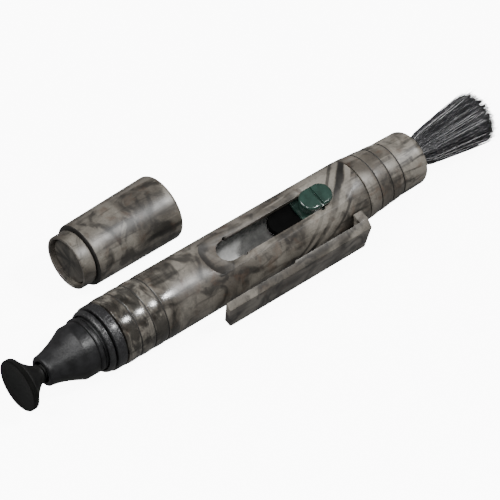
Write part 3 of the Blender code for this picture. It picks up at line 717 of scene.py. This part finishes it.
def hair(name, base, light):
    """Bristles: dark hair broken by short painted glints, light dashes in the colour along each
    strand.
    """
    g = Graph(name, 0.38, specular=0.7)
    solid = g.solid()
    painted_glint_dash = g.noise(g.scaled(solid, (0.8, 6.0, 6.0)), 1.0, 2.0, 0.6)
    strand = g.noise(g.scaled(solid, (0.08, 6.0, 6.0), shift=(9.0, 2.0, 4.0)), 1.0, 1.0, 0.5)
    colour = g.mix(g.ramp(strand, 0.35, 0.65), base, tuple(channel * 1.4 for channel in base))
    # Painted highlight: short light dashes in the colour stand in for glints on the hairs
    colour = g.mix(g.ramp(painted_glint_dash, 0.58, 0.68, 0.0, 0.9), colour, light)
    return g.finish(colour, g.ramp(painted_glint_dash, 0.3, 0.7, 0.3, 0.5))


CAMO_BARREL = camo("camo_print_barrel", branches=True)
CAMO_END = camo("camo_print_end", slot_shift=140.0)
CAMO_CLIP = camo("camo_print_clip", slot_shift=260.0, shade=0.95)
CAMO_CAP = camo("camo_print_cap", slot_shift=75.0, along=True, shade=0.8)
CAMO_DISC = camo("camo_print_disc", slot_shift=88.0, along=True, shade=0.45)
INNER_GREY = moulded("inner_grey_plastic", srgb(158, 158, 156), 0.4, bump=0.05)
BLACK_NOSE = moulded("black_satin_plastic", srgb(25, 25, 26), 0.42, bump=0.7, scale=1.8,
                     specular=0.4, variation=0.45)
BLACK_RINGS = leathery("black_crinkled_plastic")
BLACK_INSIDE = moulded("black_inside_plastic", srgb(12, 12, 13), 0.55, specular=0.2)
BLACK_TAIL = moulded("black_matte_plastic", srgb(6, 6, 6), 0.7, specular=0.03)
RUBBER = moulded("black_rubber_finish", srgb(19, 19, 18), 0.6, bump=0.2, scale=4.0, specular=0.25)
SUEDE = suede("cleaning_suede")
# Painted shade for the grooves and for the seam between the cap's collar and sleeve
PAINTED_CREASE_SHADE = moulded("groove_shadow_plastic", srgb(34, 32, 30), 0.6)
GREEN = moulded("green_gloss_plastic", srgb(31, 53, 46), 0.24, bump=0.08, scale=2.0, coat=0.5)
GREEN_DARK = moulded("green_inside_plastic", srgb(28, 46, 40), 0.36, bump=0.08)
HAIR_DARK = hair("bristle_dark", srgb(32, 32, 34), srgb(150, 150, 152))
# A darker copy of the bristle colour for the tuft's dense middle: painted shade
SHADED_HAIR_CORE = hair("bristle_shaded_core", srgb(20, 20, 21), srgb(46, 46, 48))
FOAM = foam("compound_foam")


def piece(obj, material, body, slot, *nodes):
    """Give a finished piece its material and its body, and hide the nodes that it stands for; the
    slot argument is not used.
    """
    obj.data.materials.clear()
    obj.data.materials.append(material)
    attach(obj, body)
    if nodes:
        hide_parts(*nodes)
    return obj


# How far off a surface a face's middle still counts as on it
ON_SURFACE = 0.05
IN_GROOVE = 0.07


def line_bore(obj, radius, material, flat=None):
    """Give the faces inside a radius, and below any flat roof, a second material."""
    obj.data.materials.append(material)
    limit = (radius + ON_SURFACE) * MM
    for face in obj.data.polygons:
        middle = face.center
        reach = math.hypot(middle.y, middle.z)
        above = flat is not None and middle.z > (flat - ON_SURFACE) * MM
        if reach < limit and not above:
            face.material_index = 1


def paint_groove_shade(obj, stations, radius_at):
    """Give the faces down in the grooves a dark material: painted shade in the grooves."""
    obj.data.materials.append(PAINTED_CREASE_SHADE)
    index = len(obj.data.materials) - 1
    for face in obj.data.polygons:
        middle = face.center
        reach = math.hypot(middle.y, middle.z)
        for at in stations:
            close = abs(middle.x / MM - at) < GROOVE_HALF
            if close and BORE_R * MM < reach < (radius_at(at) - IN_GROOVE) * MM:
                face.material_index = index


# Cleaning tip


def make_tip():
    pad = [(PAD_DISH, 0.0)]
    for share in shares(DISH_STEPS)[1:-1]:
        pad.append((PAD_DISH * (1 - share ** 2), (TIP_R - CHAMFER) * share))
    pad += [(0.0, TIP_R - CHAMFER), (CHAMFER / 2, TIP_R), (HEAD_FRONT, TIP_R), (HEAD_FRONT, 0.0)]
    obj = lathe("tip_suede_pad", fillet(pad, PAD_ROUND))
    piece(obj, SUEDE, "tip", "cleaning_cloth", "cleaning_pad")

    outline = [(HEAD_FRONT, 0.0), (HEAD_FRONT, TIP_R), (HEAD_FRONT + GAP, TIP_R - EDGE)]
    flare = HEAD_BACK - HEAD_FRONT - 2 * GAP
    for share in shares(CURVE_STEPS)[1:]:
        r = NECK_R + (TIP_R - CHAMFER - NECK_R) * (1 - share) ** HEAD_FLARE
        outline.append((HEAD_FRONT + GAP + flare * share, r))
    outline += [(HEAD_BACK, NECK_R), (HEAD_BACK, 0.0)]
    piece(lathe("tip_trumpet", fillet(outline)), RUBBER, "tip", "black_rubber", "tip_head")

    link = [(LINK_FRONT, 0.0), (LINK_FRONT, LINK_R - LINK_CHAMFER),
            (LINK_FRONT + LINK_CHAMFER, LINK_R), (LINK_BACK, LINK_R), (LINK_BACK, 0.0)]
    obj = lathe("tip_bending_neck", fillet(link))
    piece(obj, RUBBER, "tip_neck", "black_rubber", "tip_neck_link")


# Nose and its rings


def make_nose():
    rise = NOSE_R - NOSE_FRONT_R - CHAMFER
    outline = [(NOSE_FRONT + NOSE_BORE_FRONT, NOSE_BORE), (NOSE_FRONT, NOSE_BORE),
               (NOSE_FRONT, NOSE_FRONT_R)]
    for share in shares(CURVE_STEPS):
        x = NOSE_FRONT + CHAMFER + (NOSE_CONE_LENGTH - CHAMFER) * share
        outline.append((x, NOSE_FRONT_R + CHAMFER + rise * share ** NOSE_CONE_HOLLOW))
    seam = BEAD_FRONT - RIB_BACKSET / 2
    spigot_r = BORE_R - GAP
    outline += [(seam - GROOVE_HALF, NOSE_R), (seam, NOSE_R - GROOVE_DEPTH),
                (seam + GROOVE_HALF, NOSE_R), (BAND_BACK, NOSE_R), (BAND_BACK, spigot_r),
                (SPIGOT_BACK, spigot_r), (SPIGOT_BACK, NOSE_BORE),
                (SPIGOT_BACK - NOSE_BORE_BACK, NOSE_BORE)]
    obj = lathe("nose_body", fillet(outline, closed=True), closed=True)
    combine(obj, [make_rib()], 'UNION')
    smooth(obj.data)
    piece(obj, BLACK_NOSE, "barrel", "black_plastic", "nose_cone")
    line_bore(obj, NOSE_BORE, BLACK_INSIDE)

    inner = NOSE_R + GAP
    outline = [(BEAD_FRONT, inner), (BEAD_FRONT, inner + BEAD_STEP)]
    for index in range(1, BEAD_STEPS + 1):
        angle = math.radians(90) * index / BEAD_STEPS
        x = BEAD_FRONT + (BEAD_BACK - BEAD_FRONT - CHAMFER) * (1 - math.cos(angle))
        outline.append((x, inner + BEAD_STEP + (BEAD_R - inner - BEAD_STEP) * math.sin(angle)))
    outline += [(BEAD_BACK, BEAD_R - CHAMFER), (BEAD_BACK, inner)]
    obj = lathe("seal_bead", fillet(outline, BEAD_ROUND, True), closed=True)
    piece(obj, BLACK_RINGS, "barrel", "black_plastic", "nose_seal_ring")
    outline = [(BAND_FRONT, inner), (BAND_FRONT, BAND_R), (BAND_BACK, BAND_R), (BAND_BACK, inner)]
    obj = lathe("black_band", fillet(outline, BAND_ROUND, True), closed=True)
    piece(obj, BLACK_RINGS, "barrel", "black_plastic", "front_band")


def make_rib():
    """The raised bayonet rib, which goes round part of the nose."""
    back = BEAD_FRONT - RIB_BACKSET + RIB_FOOT
    front = back - RIB_WIDTH
    foot = NOSE_R - RIB_FOOT
    top = NOSE_R + RIB_HEIGHT
    section = [(front, foot), (front + RIB_SLANT, top), (back - RIB_SLANT, top), (back, foot)]
    section = fillet(section, RIB_ROUND)
    width = len(section)
    verts = []
    for step in range(RIB_STEPS + 1):
        angle = math.radians(RIB_START + RIB_SWEEP * step / RIB_STEPS)
        # The rib's ends run out into the nose
        sink = RIB_HEIGHT * max(0.0, 1 - min(step, RIB_STEPS - step) / RIB_RUN_OUT)
        for x, r in section:
            verts.append((x, -(r - sink) * math.sin(angle), (r - sink) * math.cos(angle)))
    faces = [tuple(range(width)), tuple(range(RIB_STEPS * width, (RIB_STEPS + 1) * width))]
    for step in range(RIB_STEPS):
        for index in range(width):
            after = (index + 1) % width
            faces.append((step * width + index, step * width + after,
                          (step + 1) * width + after, (step + 1) * width + index))
    return add_mesh("nose_bayonet_rib", verts, faces)


# Barrel


def crowned(x0, x1, r0, r1, crown=RING_CROWN, steps=8):
    """The outer line of a ring between two grooves, bulging slightly in the middle."""
    points = []
    for share in shares(steps):
        r = r0 + (r1 - r0) * share - crown * (2 * share - 1) ** 2
        points.append((x0 + (x1 - x0) * share, r))
    return points


def make_barrel():
    outline = [(BARREL_FRONT, BORE_R)]
    start = BARREL_FRONT
    for offset in FRONT_GROOVES:
        at = BARREL_FRONT + offset
        outline += crowned(start, at - GROOVE_HALF, BARREL_R, BARREL_R)
        outline.append((at, BARREL_R - GROOVE_DEPTH))
        start = at + GROOVE_HALF
    outline += [(start + along, BARREL_R - drop) for along, drop in ROLL_OFF]
    roll_off = start + ROLL_OFF_LENGTH
    outline.append((roll_off, BARREL_R))
    for share in shares(BODY_STEPS)[1:]:
        x = roll_off + (BARREL_BACK - roll_off) * share
        outline.append((x, BARREL_R + (BARREL_BACK_R - BARREL_R) * share))
    outline.append((BARREL_BACK, BORE_R))
    obj = lathe("barrel_tube", fillet(outline, EDGE, True), closed=True)
    x0 = SPIGOT_BACK + 2 * GAP
    x1 = END_SPIGOT_FRONT - GAP
    roof_r = BORE_R + BARREL_WALL / 4
    half = math.sqrt(roof_r ** 2 - BORE_FLAT ** 2)
    rim = math.degrees(math.atan2(half, BORE_FLAT))
    segment = arc((0.0, 0.0), roof_r, 90 - rim, 90 + rim, 24)
    combine(obj, [bar("roof_form", segment, x0, x1)], 'UNION')

    top = BARREL_R + CUT_OVER
    bottom = BORE_FLAT - GAP
    deck_half = math.sqrt(BARREL_R ** 2 - DECK_Z ** 2) + DECK_SIDE
    ramp_end = DECK_X1 + DECK_RAMP
    side = [(DECK_X0, DECK_Z), (DECK_X1, DECK_Z)]
    for share in shares(RAMP_STEPS)[1:]:
        rise = DECK_DEPTH * (share ** DECK_RAMP_CURVE)
        side.append((DECK_X1 + DECK_RAMP * share, DECK_Z + rise))
    side += [(ramp_end, top), (DECK_X0, top)]
    deck = prism("deck_form", side, -deck_half, deck_half, along='Y')
    round_end(deck, DECK_X0, deck_half - DECK_SIDE / 2, 2, 16)
    cutters = [deck, prism("slot_form", stadium(SLOT_X0, SLOT_X1, SLOT_HALF), bottom, top)]
    detents = (
        (SLOT_X0 + NOTCH_INSET, 1),
        (SLOT_X0 + NOTCH_INSET + NOTCH_STAGGER, -1),
        (SLOT_X1 - NOTCH_INSET, 1),
        (SLOT_X1 - NOTCH_INSET, -1),
    )
    for x, sign in detents:
        circle = arc((x, sign * SLOT_HALF), NOTCH_R, 0, 360, 20)[:-1]
        cutters.append(prism("notch_form", circle, bottom, top))
    combine(obj, cutters, 'DIFFERENCE')
    soften(obj, BARREL_BEVEL, 2, 32)
    piece(obj, CAMO_BARREL, "barrel", "camo_plastic", "barrel_shell")
    line_bore(obj, BORE_R, INNER_GREY, BORE_FLAT)
    paint_groove_shade(obj, [BARREL_FRONT + offset for offset in FRONT_GROOVES], lambda at: BARREL_R)


def make_brush_end():
    r0 = BARREL_BACK_R
    r1 = r0 - END_TAPER
    body = END_LENGTH - END_NOSE_ROUND

    def radius(x):
        return r0 + (r1 - r0) * min((x - END_FRONT) / body / END_TAPER_SHARE, 1.0)

    outline = [(END_SPIGOT_FRONT, END_BORE_R), (END_SPIGOT_FRONT, BORE_R - GAP),
               (END_FRONT, BORE_R - GAP)]
    grooves = [END_FRONT + END_GROOVE_PITCH * index for index in END_GROOVES]
    start = END_FRONT
    for at in grooves:
        outline += crowned(start, at - GROOVE_HALF, radius(start), radius(at), END_CROWN)
        outline.append((at, radius(at) - GROOVE_DEPTH))
        start = at + GROOVE_HALF
    outline += crowned(start, END_FRONT + body, radius(start), r1, END_LAST_CROWN, 10)[:-1]
    nose_middle = (END_FRONT + body, r1 - END_NOSE_ROUND)
    outline += list(reversed(arc(nose_middle, END_NOSE_ROUND, 0, 90)))
    outline += [(MOUTH, MOUTH_R), (MOUTH - MOUTH_LENGTH, MOUTH_R)]
    outline += [(MOUTH - MOUTH_LENGTH - (END_BORE_R - MOUTH_R), END_BORE_R)]
    obj = lathe("brush_end_sleeve", fillet(outline, EDGE, True), closed=True)
    piece(obj, CAMO_END, "barrel", "camo_plastic", "brush_end_collar")
    line_bore(obj, END_BORE_R, INNER_GREY)
    paint_groove_shade(obj, grooves, radius)


# Thumb button and what slides with it


def make_button():
    low = DECK_Z + GAP
    high = low + BUTTON_HEIGHT
    obj = prism("thumb_button", stadium(BUTTON_X0, BUTTON_X1, SLOT_HALF), low, high)
    soften(obj, BUTTON_ROUND, 6, 60)
    middle = (BUTTON_X0 + BUTTON_X1) / 2
    half = BUTTON_GROOVE / 2
    floor = high - BUTTON_GROOVE_DEPTH
    groove = [(middle - half, floor), (middle + half, floor),
              (middle + half + EDGE, high + CUT_OVER), (middle - half - EDGE, high + CUT_OVER)]
    cut = prism("groove_form", groove, -SLOT_WIDTH, SLOT_WIDTH, along='Y')
    combine(obj, [cut], 'DIFFERENCE')
    neck_plan = stadium(BUTTON_X0 + NECK_SIDE_GAP, SLOT_X1 - GAP, SLOT_HALF - NECK_SIDE_GAP)
    neck = prism("button_neck_form", neck_plan, BORE_FLAT, low + BUTTON_HEIGHT / 3)
    combine(obj, [neck], 'UNION')
    soften(obj, BUTTON_BEVEL, 2, 40)
    piece(obj, GREEN, "brush", "green_plastic", "slider_button")


def make_tail():
    """The black plate in front of the carrier, seen through the slot."""
    plan = arc((TAIL_FRONT + TAIL_HALF, 0.0), TAIL_HALF, 90, 270, 40)
    plan += [(TAIL_BACK, -TAIL_HALF), (TAIL_BACK, TAIL_HALF)]
    high = BORE_FLAT - GAP
    obj = prism("slide_front_plate", plan, high - TAIL_T, high)
    soften(obj, TAIL_BEVEL, 3, 40)
    piece(obj, BLACK_TAIL, "brush", "black_plastic", "carrier_tail")


def make_ferrule():
    bore = FERRULE_R - FERRULE_WALL
    floor = FERRULE_FRONT + FERRULE_FLOOR
    outline = [(FERRULE_FRONT, 0.0), (FERRULE_FRONT, FERRULE_R), (FERRULE_BACK, FERRULE_R),
               (FERRULE_BACK, bore), (floor, bore), (floor, 0.0)]
    obj = lathe("brush_ferrule_ring", fillet(outline, FERRULE_ROUND))
    piece(obj, GREEN_DARK, "brush", "green_plastic", "brush_ferrule")


# Bristles
SECTORS = 14
HAIRS = 2600
HAIR_R = 0.062
HAIR_SIDES = 3
HAIR_STEPS = 8
CRIMP = 0.05
STRAYS = 26
SEED = 20261
GOLDEN = 3 - math.sqrt(5)
TWIST = 0.1
WAVES = (2.0, 4.5)
ANGLE_SCATTER = 0.05
ROOT_SCATTER = (0.97, 1.0)
END_SCATTER = (0.93, 1.02)
HAIR_R_SCATTER = (0.75, 1.15)
HAIR_TIP = 0.35
NECK_RISE = 0.05
SPREAD_START = 0.22
SPREAD_FROM = 0.08
SPREAD_OVER = 0.92
SPREAD_CURVE = 0.9
TUFT_CLEARANCE = 0.08
TUFT_MARGIN = 0.15
TUFT_DOME = 1.3
TUFT_RAGGED = 1.4
TUFT_TOP_GAP = 0.1
STRAY_SHORT = (0.2, 1.5)
STRAY_OVER = (-0.1, 0.35)
STRAY_LIMIT = 0.3
STRAY_R = 0.7
STRAY_CURL = 2.0


def strand(source, root_r, end_r, angle, length, start, curl):
    """Points up one bristle: straight through the ferrule, then spreading to its tip."""
    twist = source.uniform(-TWIST, TWIST) * curl
    phase = source.uniform(0, math.tau)
    waves = source.uniform(*WAVES)
    free = start + length - FERRULE_BACK
    neck = FERRULE_BACK + NECK_RISE
    spread_r = root_r + (end_r - root_r) * SPREAD_START
    root = (root_r * math.cos(angle), root_r * math.sin(angle))
    points = [Vector((start, *root)), Vector((neck, *root))]
    for share in shares(HAIR_STEPS - 1)[1:]:
        spread = max(0.0, (share - SPREAD_FROM) / SPREAD_OVER) ** SPREAD_CURVE
        r = spread_r + (end_r - spread_r) * spread
        bend = angle + twist * share ** 2
        wave = CRIMP * curl * math.sin(phase + waves * share * math.tau) * share
        y = r * math.cos(bend) + wave
        z = r * math.sin(bend) - wave
        points.append(Vector((neck + free * share, y, z)))
    return points


def add_hair(verts, faces, points, radius, spin):
    """Add one bristle, a thin three-sided rod through its points."""
    first = len(verts)
    for step, point in enumerate(points):
        thin = radius * (1.0 if step < HAIR_STEPS else HAIR_TIP)
        for side in range(HAIR_SIDES):
            turn = spin + math.tau * side / HAIR_SIDES
            y = point.y + thin * math.cos(turn)
            z = point.z + thin * math.sin(turn)
            verts.append((point.x, y, z))
    for step in range(HAIR_STEPS):
        for side in range(HAIR_SIDES):
            one = first + step * HAIR_SIDES + side
            two = first + step * HAIR_SIDES + (side + 1) % HAIR_SIDES
            faces.append((one, two, two + HAIR_SIDES, one + HAIR_SIDES))
    last = first + HAIR_SIDES * HAIR_STEPS
    faces.append(tuple(range(last, last + HAIR_SIDES)))
    faces.append(tuple(range(first + HAIR_SIDES - 1, first - 1, -1)))


def make_bristles():
    source = random.Random(SEED)
    start = FERRULE_FRONT + FERRULE_FLOOR + GAP
    root = FERRULE_R - FERRULE_WALL - TUFT_CLEARANCE
    sectors = [([], []) for _ in range(SECTORS)]
    for index in range(HAIRS + STRAYS):
        stray = index >= HAIRS
        share = 1.0 if stray else math.sqrt((index + 0.5) / HAIRS)
        angle = index * math.pi * GOLDEN + source.uniform(-ANGLE_SCATTER, ANGLE_SCATTER)
        root_r = (root - HAIR_R) * share * source.uniform(*ROOT_SCATTER)
        end_r = (TUFT_END_R - TUFT_MARGIN) * share * source.uniform(*END_SCATTER)
        ragged = source.uniform(0.0, 1.0) ** 2 * TUFT_RAGGED
        length = TUFT_BACK - start - TUFT_DOME * share ** 4 - ragged - TUFT_TOP_GAP
        if stray:
            length = TUFT_BACK - start - source.uniform(*STRAY_SHORT)
            end_r = TUFT_END_R + source.uniform(*STRAY_OVER)
        end_r = min(end_r, TUFT_END_R + STRAY_LIMIT)
        curl = STRAY_CURL if stray else 1.0
        points = strand(source, root_r, end_r, angle, length, start, curl)
        radius = HAIR_R * (STRAY_R if stray else source.uniform(*HAIR_R_SCATTER))
        verts, faces = sectors[int((angle % math.tau) / math.tau * SECTORS) % SECTORS]
        add_hair(verts, faces, points, radius, source.uniform(0, math.tau))
    for index, (verts, faces) in enumerate(sectors):
        obj = add_mesh("bristles_%02d" % index, verts, faces, angle=100)
        piece(obj, HAIR_DARK, "brush", "bristle", *(("bristle_tuft",) if index == 0 else ()))
        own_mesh(obj)
        core = core_wedge("bristle_core_%02d" % index, index, root, start)
        piece(core, SHADED_HAIR_CORE, "brush", "bristle")
        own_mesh(core)


def core_wedge(name, index, root, start):
    """One wedge of the dense middle of the tuft, in a darker copy of the hair colour: painted shade
    inside the tuft.
    """
    steps = 4
    # The place along the pen of each row, and its radius
    rows = [(start, root * 0.86), (FERRULE_BACK, root * 0.9),
            (FERRULE_BACK + 9.0, TUFT_END_R * 0.62), (TUFT_BACK - 2.6, TUFT_END_R * 0.84),
            (TUFT_BACK - 2.0, TUFT_END_R * 0.6)]
    verts = [(rows[0][0], 0.0, 0.0), (rows[-1][0], 0.0, 0.0)]
    faces = []
    for x, r in rows:
        for step in range(steps + 1):
            angle = math.tau * (index + step / steps) / SECTORS
            verts.append((x, r * math.cos(angle), r * math.sin(angle)))
    width = steps + 1
    for row in range(len(rows) - 1):
        for step in range(steps):
            one = 2 + row * width + step
            faces.append((one, one + 1, one + 1 + width, one + width))
    last = 2 + (len(rows) - 1) * width
    for step in range(steps):
        faces.append((0, 3 + step, 2 + step))
        faces.append((1, last + step, last + step + 1))
    faces.append(tuple([0] + [2 + row * width for row in range(len(rows))] + [1]))
    faces.append(tuple([1] + [2 + row * width + steps for row in reversed(range(len(rows)))] + [0]))
    return add_mesh(name, verts, faces, angle=60)


# Clip


def make_clip():
    foot = BARREL_R - BRIDGE_SINK
    step = CLIP_X0 + CLIP_STEP_AT
    bridge = CLIP_X1 - BRIDGE_LENGTH
    side = [(CLIP_X0, CLIP_IN + CLIP_STEP), (step, CLIP_IN + CLIP_STEP),
            (step + CLIP_STEP, CLIP_IN), (bridge, CLIP_IN), (bridge, foot), (CLIP_X1, foot),
            (CLIP_X1, CLIP_OUT), (CLIP_X0, CLIP_OUT)]
    obj = prism("spring_clip", [(x, -across) for x, across in side], -CLIP_LOW, CLIP_HIGH)
    round_end(obj, CLIP_X0, CLIP_END_ROUND, 1)
    lean_end(obj, CLIP_X0, CLIP_END_ROUND, -CLIP_LOW, CLIP_HIGH, CLIP_END_LEAN)
    drop = CLIP_SLOPE * (CLIP_T + CUT_OVER) / CLIP_T
    slope = [(-CLIP_IN, CLIP_HIGH), (-CLIP_OUT - CUT_OVER, CLIP_HIGH - drop),
             (-CLIP_OUT - CUT_OVER, CLIP_HIGH + CUT_OVER), (-CLIP_IN, CLIP_HIGH + CUT_OVER)]
    cut = bar("slope_form", slope, CLIP_TOP_X0 - CUT_OVER, CLIP_X1 + CUT_OVER)
    combine(obj, [cut], 'DIFFERENCE')
    soften(obj, CLIP_BEVEL, 3, 25)
    x0 = CLIP_X0 - SEAT_OVER
    x1 = CLIP_X1 + SEAT_OVER
    seat = [(x0, 0.0), (x0, BARREL_R + GAP), (x1, BARREL_R + GAP), (x1, 0.0)]
    combine(obj, [lathe("seat_form", seat)], 'DIFFERENCE')
    smooth(obj.data, 40)
    piece(obj, CAMO_CLIP, "clip", "camo_plastic", "pocket_clip")


# Cap


def make_cap():
    # The cap lies on its side, so its height is its width
    low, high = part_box("cap_shell")
    widest_r = (high.z - low.z) / 2 / MM
    reach = (high - CAP_FACE).x - widest_r * MM * math.sin(CAP_YAW)
    length = reach / math.cos(CAP_YAW) / MM
    open_r = BARREL_R - CAP_OPEN_DROP
    step_r = open_r - CAP_TAPER
    bore = NOSE_R + CAP_CLEARANCE
    front = CAP_COLLAR_LENGTH + GAP
    inner = front + CAP_END_WALL
    outline = [(front, 0.0), (front, step_r - CAP_DRAFT)]
    for share in shares(CAP_STEPS):
        x = front + CAP_FRONT_ROUND + (length - CAP_ROUND - front - CAP_FRONT_ROUND) * share
        outline.append((x, step_r + (open_r - step_r) * share))
    outline += [(length - CAP_ROUND / 4, open_r - CAP_ROUND / 3), (length, open_r - CAP_ROUND),
                (length, bore), (inner, bore), (inner, 0.0)]
    obj = lathe("cap_sleeve", fillet(outline, CAP_FRONT_ROUND), CAP)
    piece(obj, CAMO_CAP, "cap", "cap_plastic", "cap_shell")
    line_bore(obj, bore, INNER_GREY)
    # Painted shade: the sleeve's front face, in the seam against the collar, is darkened
    obj.data.materials.append(PAINTED_CREASE_SHADE)
    for face in obj.data.polygons:
        if face.center.x < (front + EDGE) * MM:
            face.material_index = 2

    recess_r = CAP_COLLAR_R - CAP_RIM
    floor = CAP_RECESS + CAP_DISC_T + GAP
    collar = [(floor, 0.0), (floor, recess_r), (0.0, recess_r + CAP_DRAFT), (0.0, CAP_COLLAR_R),
              (CAP_COLLAR_LENGTH, CAP_COLLAR_R), (CAP_COLLAR_LENGTH, recess_r),
              (front, recess_r), (front, 0.0)]
    obj = lathe("cap_collar_ring", fillet(collar, CAP_COLLAR_ROUND), CAP)
    piece(obj, CAMO_CAP, "cap", "cap_plastic", "cap_end_collar")
    disc_r = recess_r - GAP
    disc_back = CAP_RECESS + CAP_DISC_T
    disc = [(CAP_RECESS, 0.0), (CAP_RECESS, disc_r), (disc_back, disc_r), (disc_back, 0.0)]
    obj = lathe("cap_sunk_disc", fillet(disc), CAP)
    piece(obj, CAMO_DISC, "cap", "cap_plastic", "cap_end_disc")

    sponge_r = widest("compound_sponge")
    sponge_x0 = inner + GAP + CUP_FLOOR + GAP
    sponge_x1 = inner + GAP + CUP_DEPTH
    sponge = [(sponge_x0, 0.0), (sponge_x0, sponge_r)]
    for share in reversed(shares(DISH_STEPS)):
        sponge.append((sponge_x1 - SPONGE_CROWN * share ** 4, (sponge_r - SPONGE_INSET) * share))
    obj = lathe("compound_foam_pad", fillet(sponge, SPONGE_ROUND), CAP, steps=SPONGE_STEPS)
    piece(obj, FOAM, "cap", "sponge", "compound_sponge")


make_tip()
make_nose()
make_barrel()
make_brush_end()
make_button()
make_tail()
make_ferrule()
make_bristles()
make_clip()
make_cap()

# The part's own nodes that still show
for node, material in (
    ("tip_anchor_plug", BLACK_INSIDE),
    ("brush_carrier", GREEN_DARK),
    ("ferrule_socket", GREEN_DARK),
    ("compound_cup", BLACK_INSIDE),
):
    mesh = frame["nodes"][node].data
    mesh.materials.clear()
    mesh.materials.append(material)


# Floor, light and camera
FLOOR_SIZE = 3.0
FLOOR_GLOW = 9.0
WORLD_GLOW = 0.22
WHITE = (1.0, 1.0, 1.0, 1.0)
# Soft boxes: name, azimuth and elevation in degrees, side in metres, power in watts
SOFTBOXES = (
    ("glint_softbox", 43.6, 52.0, 0.12, 9.0),
    ("main_softbox", -100.0, 50.0, 0.45, 9.0),
    ("fill_softbox", -42.0, 50.0, 0.2, 3.0),
)
SOFTBOX_DISTANCE = 1.0
CAMERA_TARGET = Vector((-0.002285, -0.009334, 0.0075))
CAMERA_AZIMUTH = -39.96
CAMERA_ELEVATION = 44.43
CAMERA_DISTANCE = 0.8
CAMERA_LENS = 275.6
CAMERA_SENSOR = 36.0
CAMERA_REACH = (0.01, 20.0)


def aim(obj, azimuth, elevation, distance):
    """Place a lamp or the camera by its angles in degrees, facing the target."""
    azimuth = math.radians(azimuth)
    elevation = math.radians(elevation)
    flat = math.cos(elevation)
    way = Vector((math.sin(azimuth) * flat, -math.cos(azimuth) * flat, math.sin(elevation)))
    place = CAMERA_TARGET + way * distance
    obj.location = place
    obj.rotation_euler = (CAMERA_TARGET - place).to_track_quat('-Z', 'Y').to_euler()


def make_floor():
    half = FLOOR_SIZE / 2
    corners = [(-half, -half, 0.0), (half, -half, 0.0), (half, half, 0.0), (-half, half, 0.0)]
    mesh = bpy.data.meshes.new("floor")
    mesh.from_pydata(corners, [], [(0, 1, 2, 3)])
    floor = add_object("floor", mesh)
    g = Graph("pale_floor", 0.9, specular=0.1)
    cloud = g.noise(g.coords, 3.0, 2.0, 0.5)
    g.shader.inputs["Emission Color"].default_value = WHITE
    g.shader.inputs["Emission Strength"].default_value = FLOOR_GLOW
    mesh.materials.append(g.finish(g.mix(cloud, (0.9, 0.9, 0.9), (0.93, 0.93, 0.93))))
    floor.visible_diffuse = False
    floor.visible_glossy = False


make_floor()
for name, azimuth, elevation, side, power in SOFTBOXES:
    data = bpy.data.lights.new(name, 'AREA')
    data.shape = 'RECTANGLE'
    data.size = data.size_y = side
    data.energy = power
    aim(add_object(name, data), azimuth, elevation, SOFTBOX_DISTANCE)

world = bpy.data.worlds.new("studio")
world.use_nodes = True
background = world.node_tree.nodes["Background"]
background.inputs["Color"].default_value = WHITE
background.inputs["Strength"].default_value = WORLD_GLOW
bpy.context.scene.world = world

camera_data = bpy.data.cameras.new("camera")
camera_data.lens = CAMERA_LENS
camera_data.sensor_width = CAMERA_SENSOR
camera_data.clip_start, camera_data.clip_end = CAMERA_REACH
camera = add_object("camera", camera_data)
aim(camera, CAMERA_AZIMUTH, CAMERA_ELEVATION, CAMERA_DISTANCE)
bpy.context.scene.camera = camera
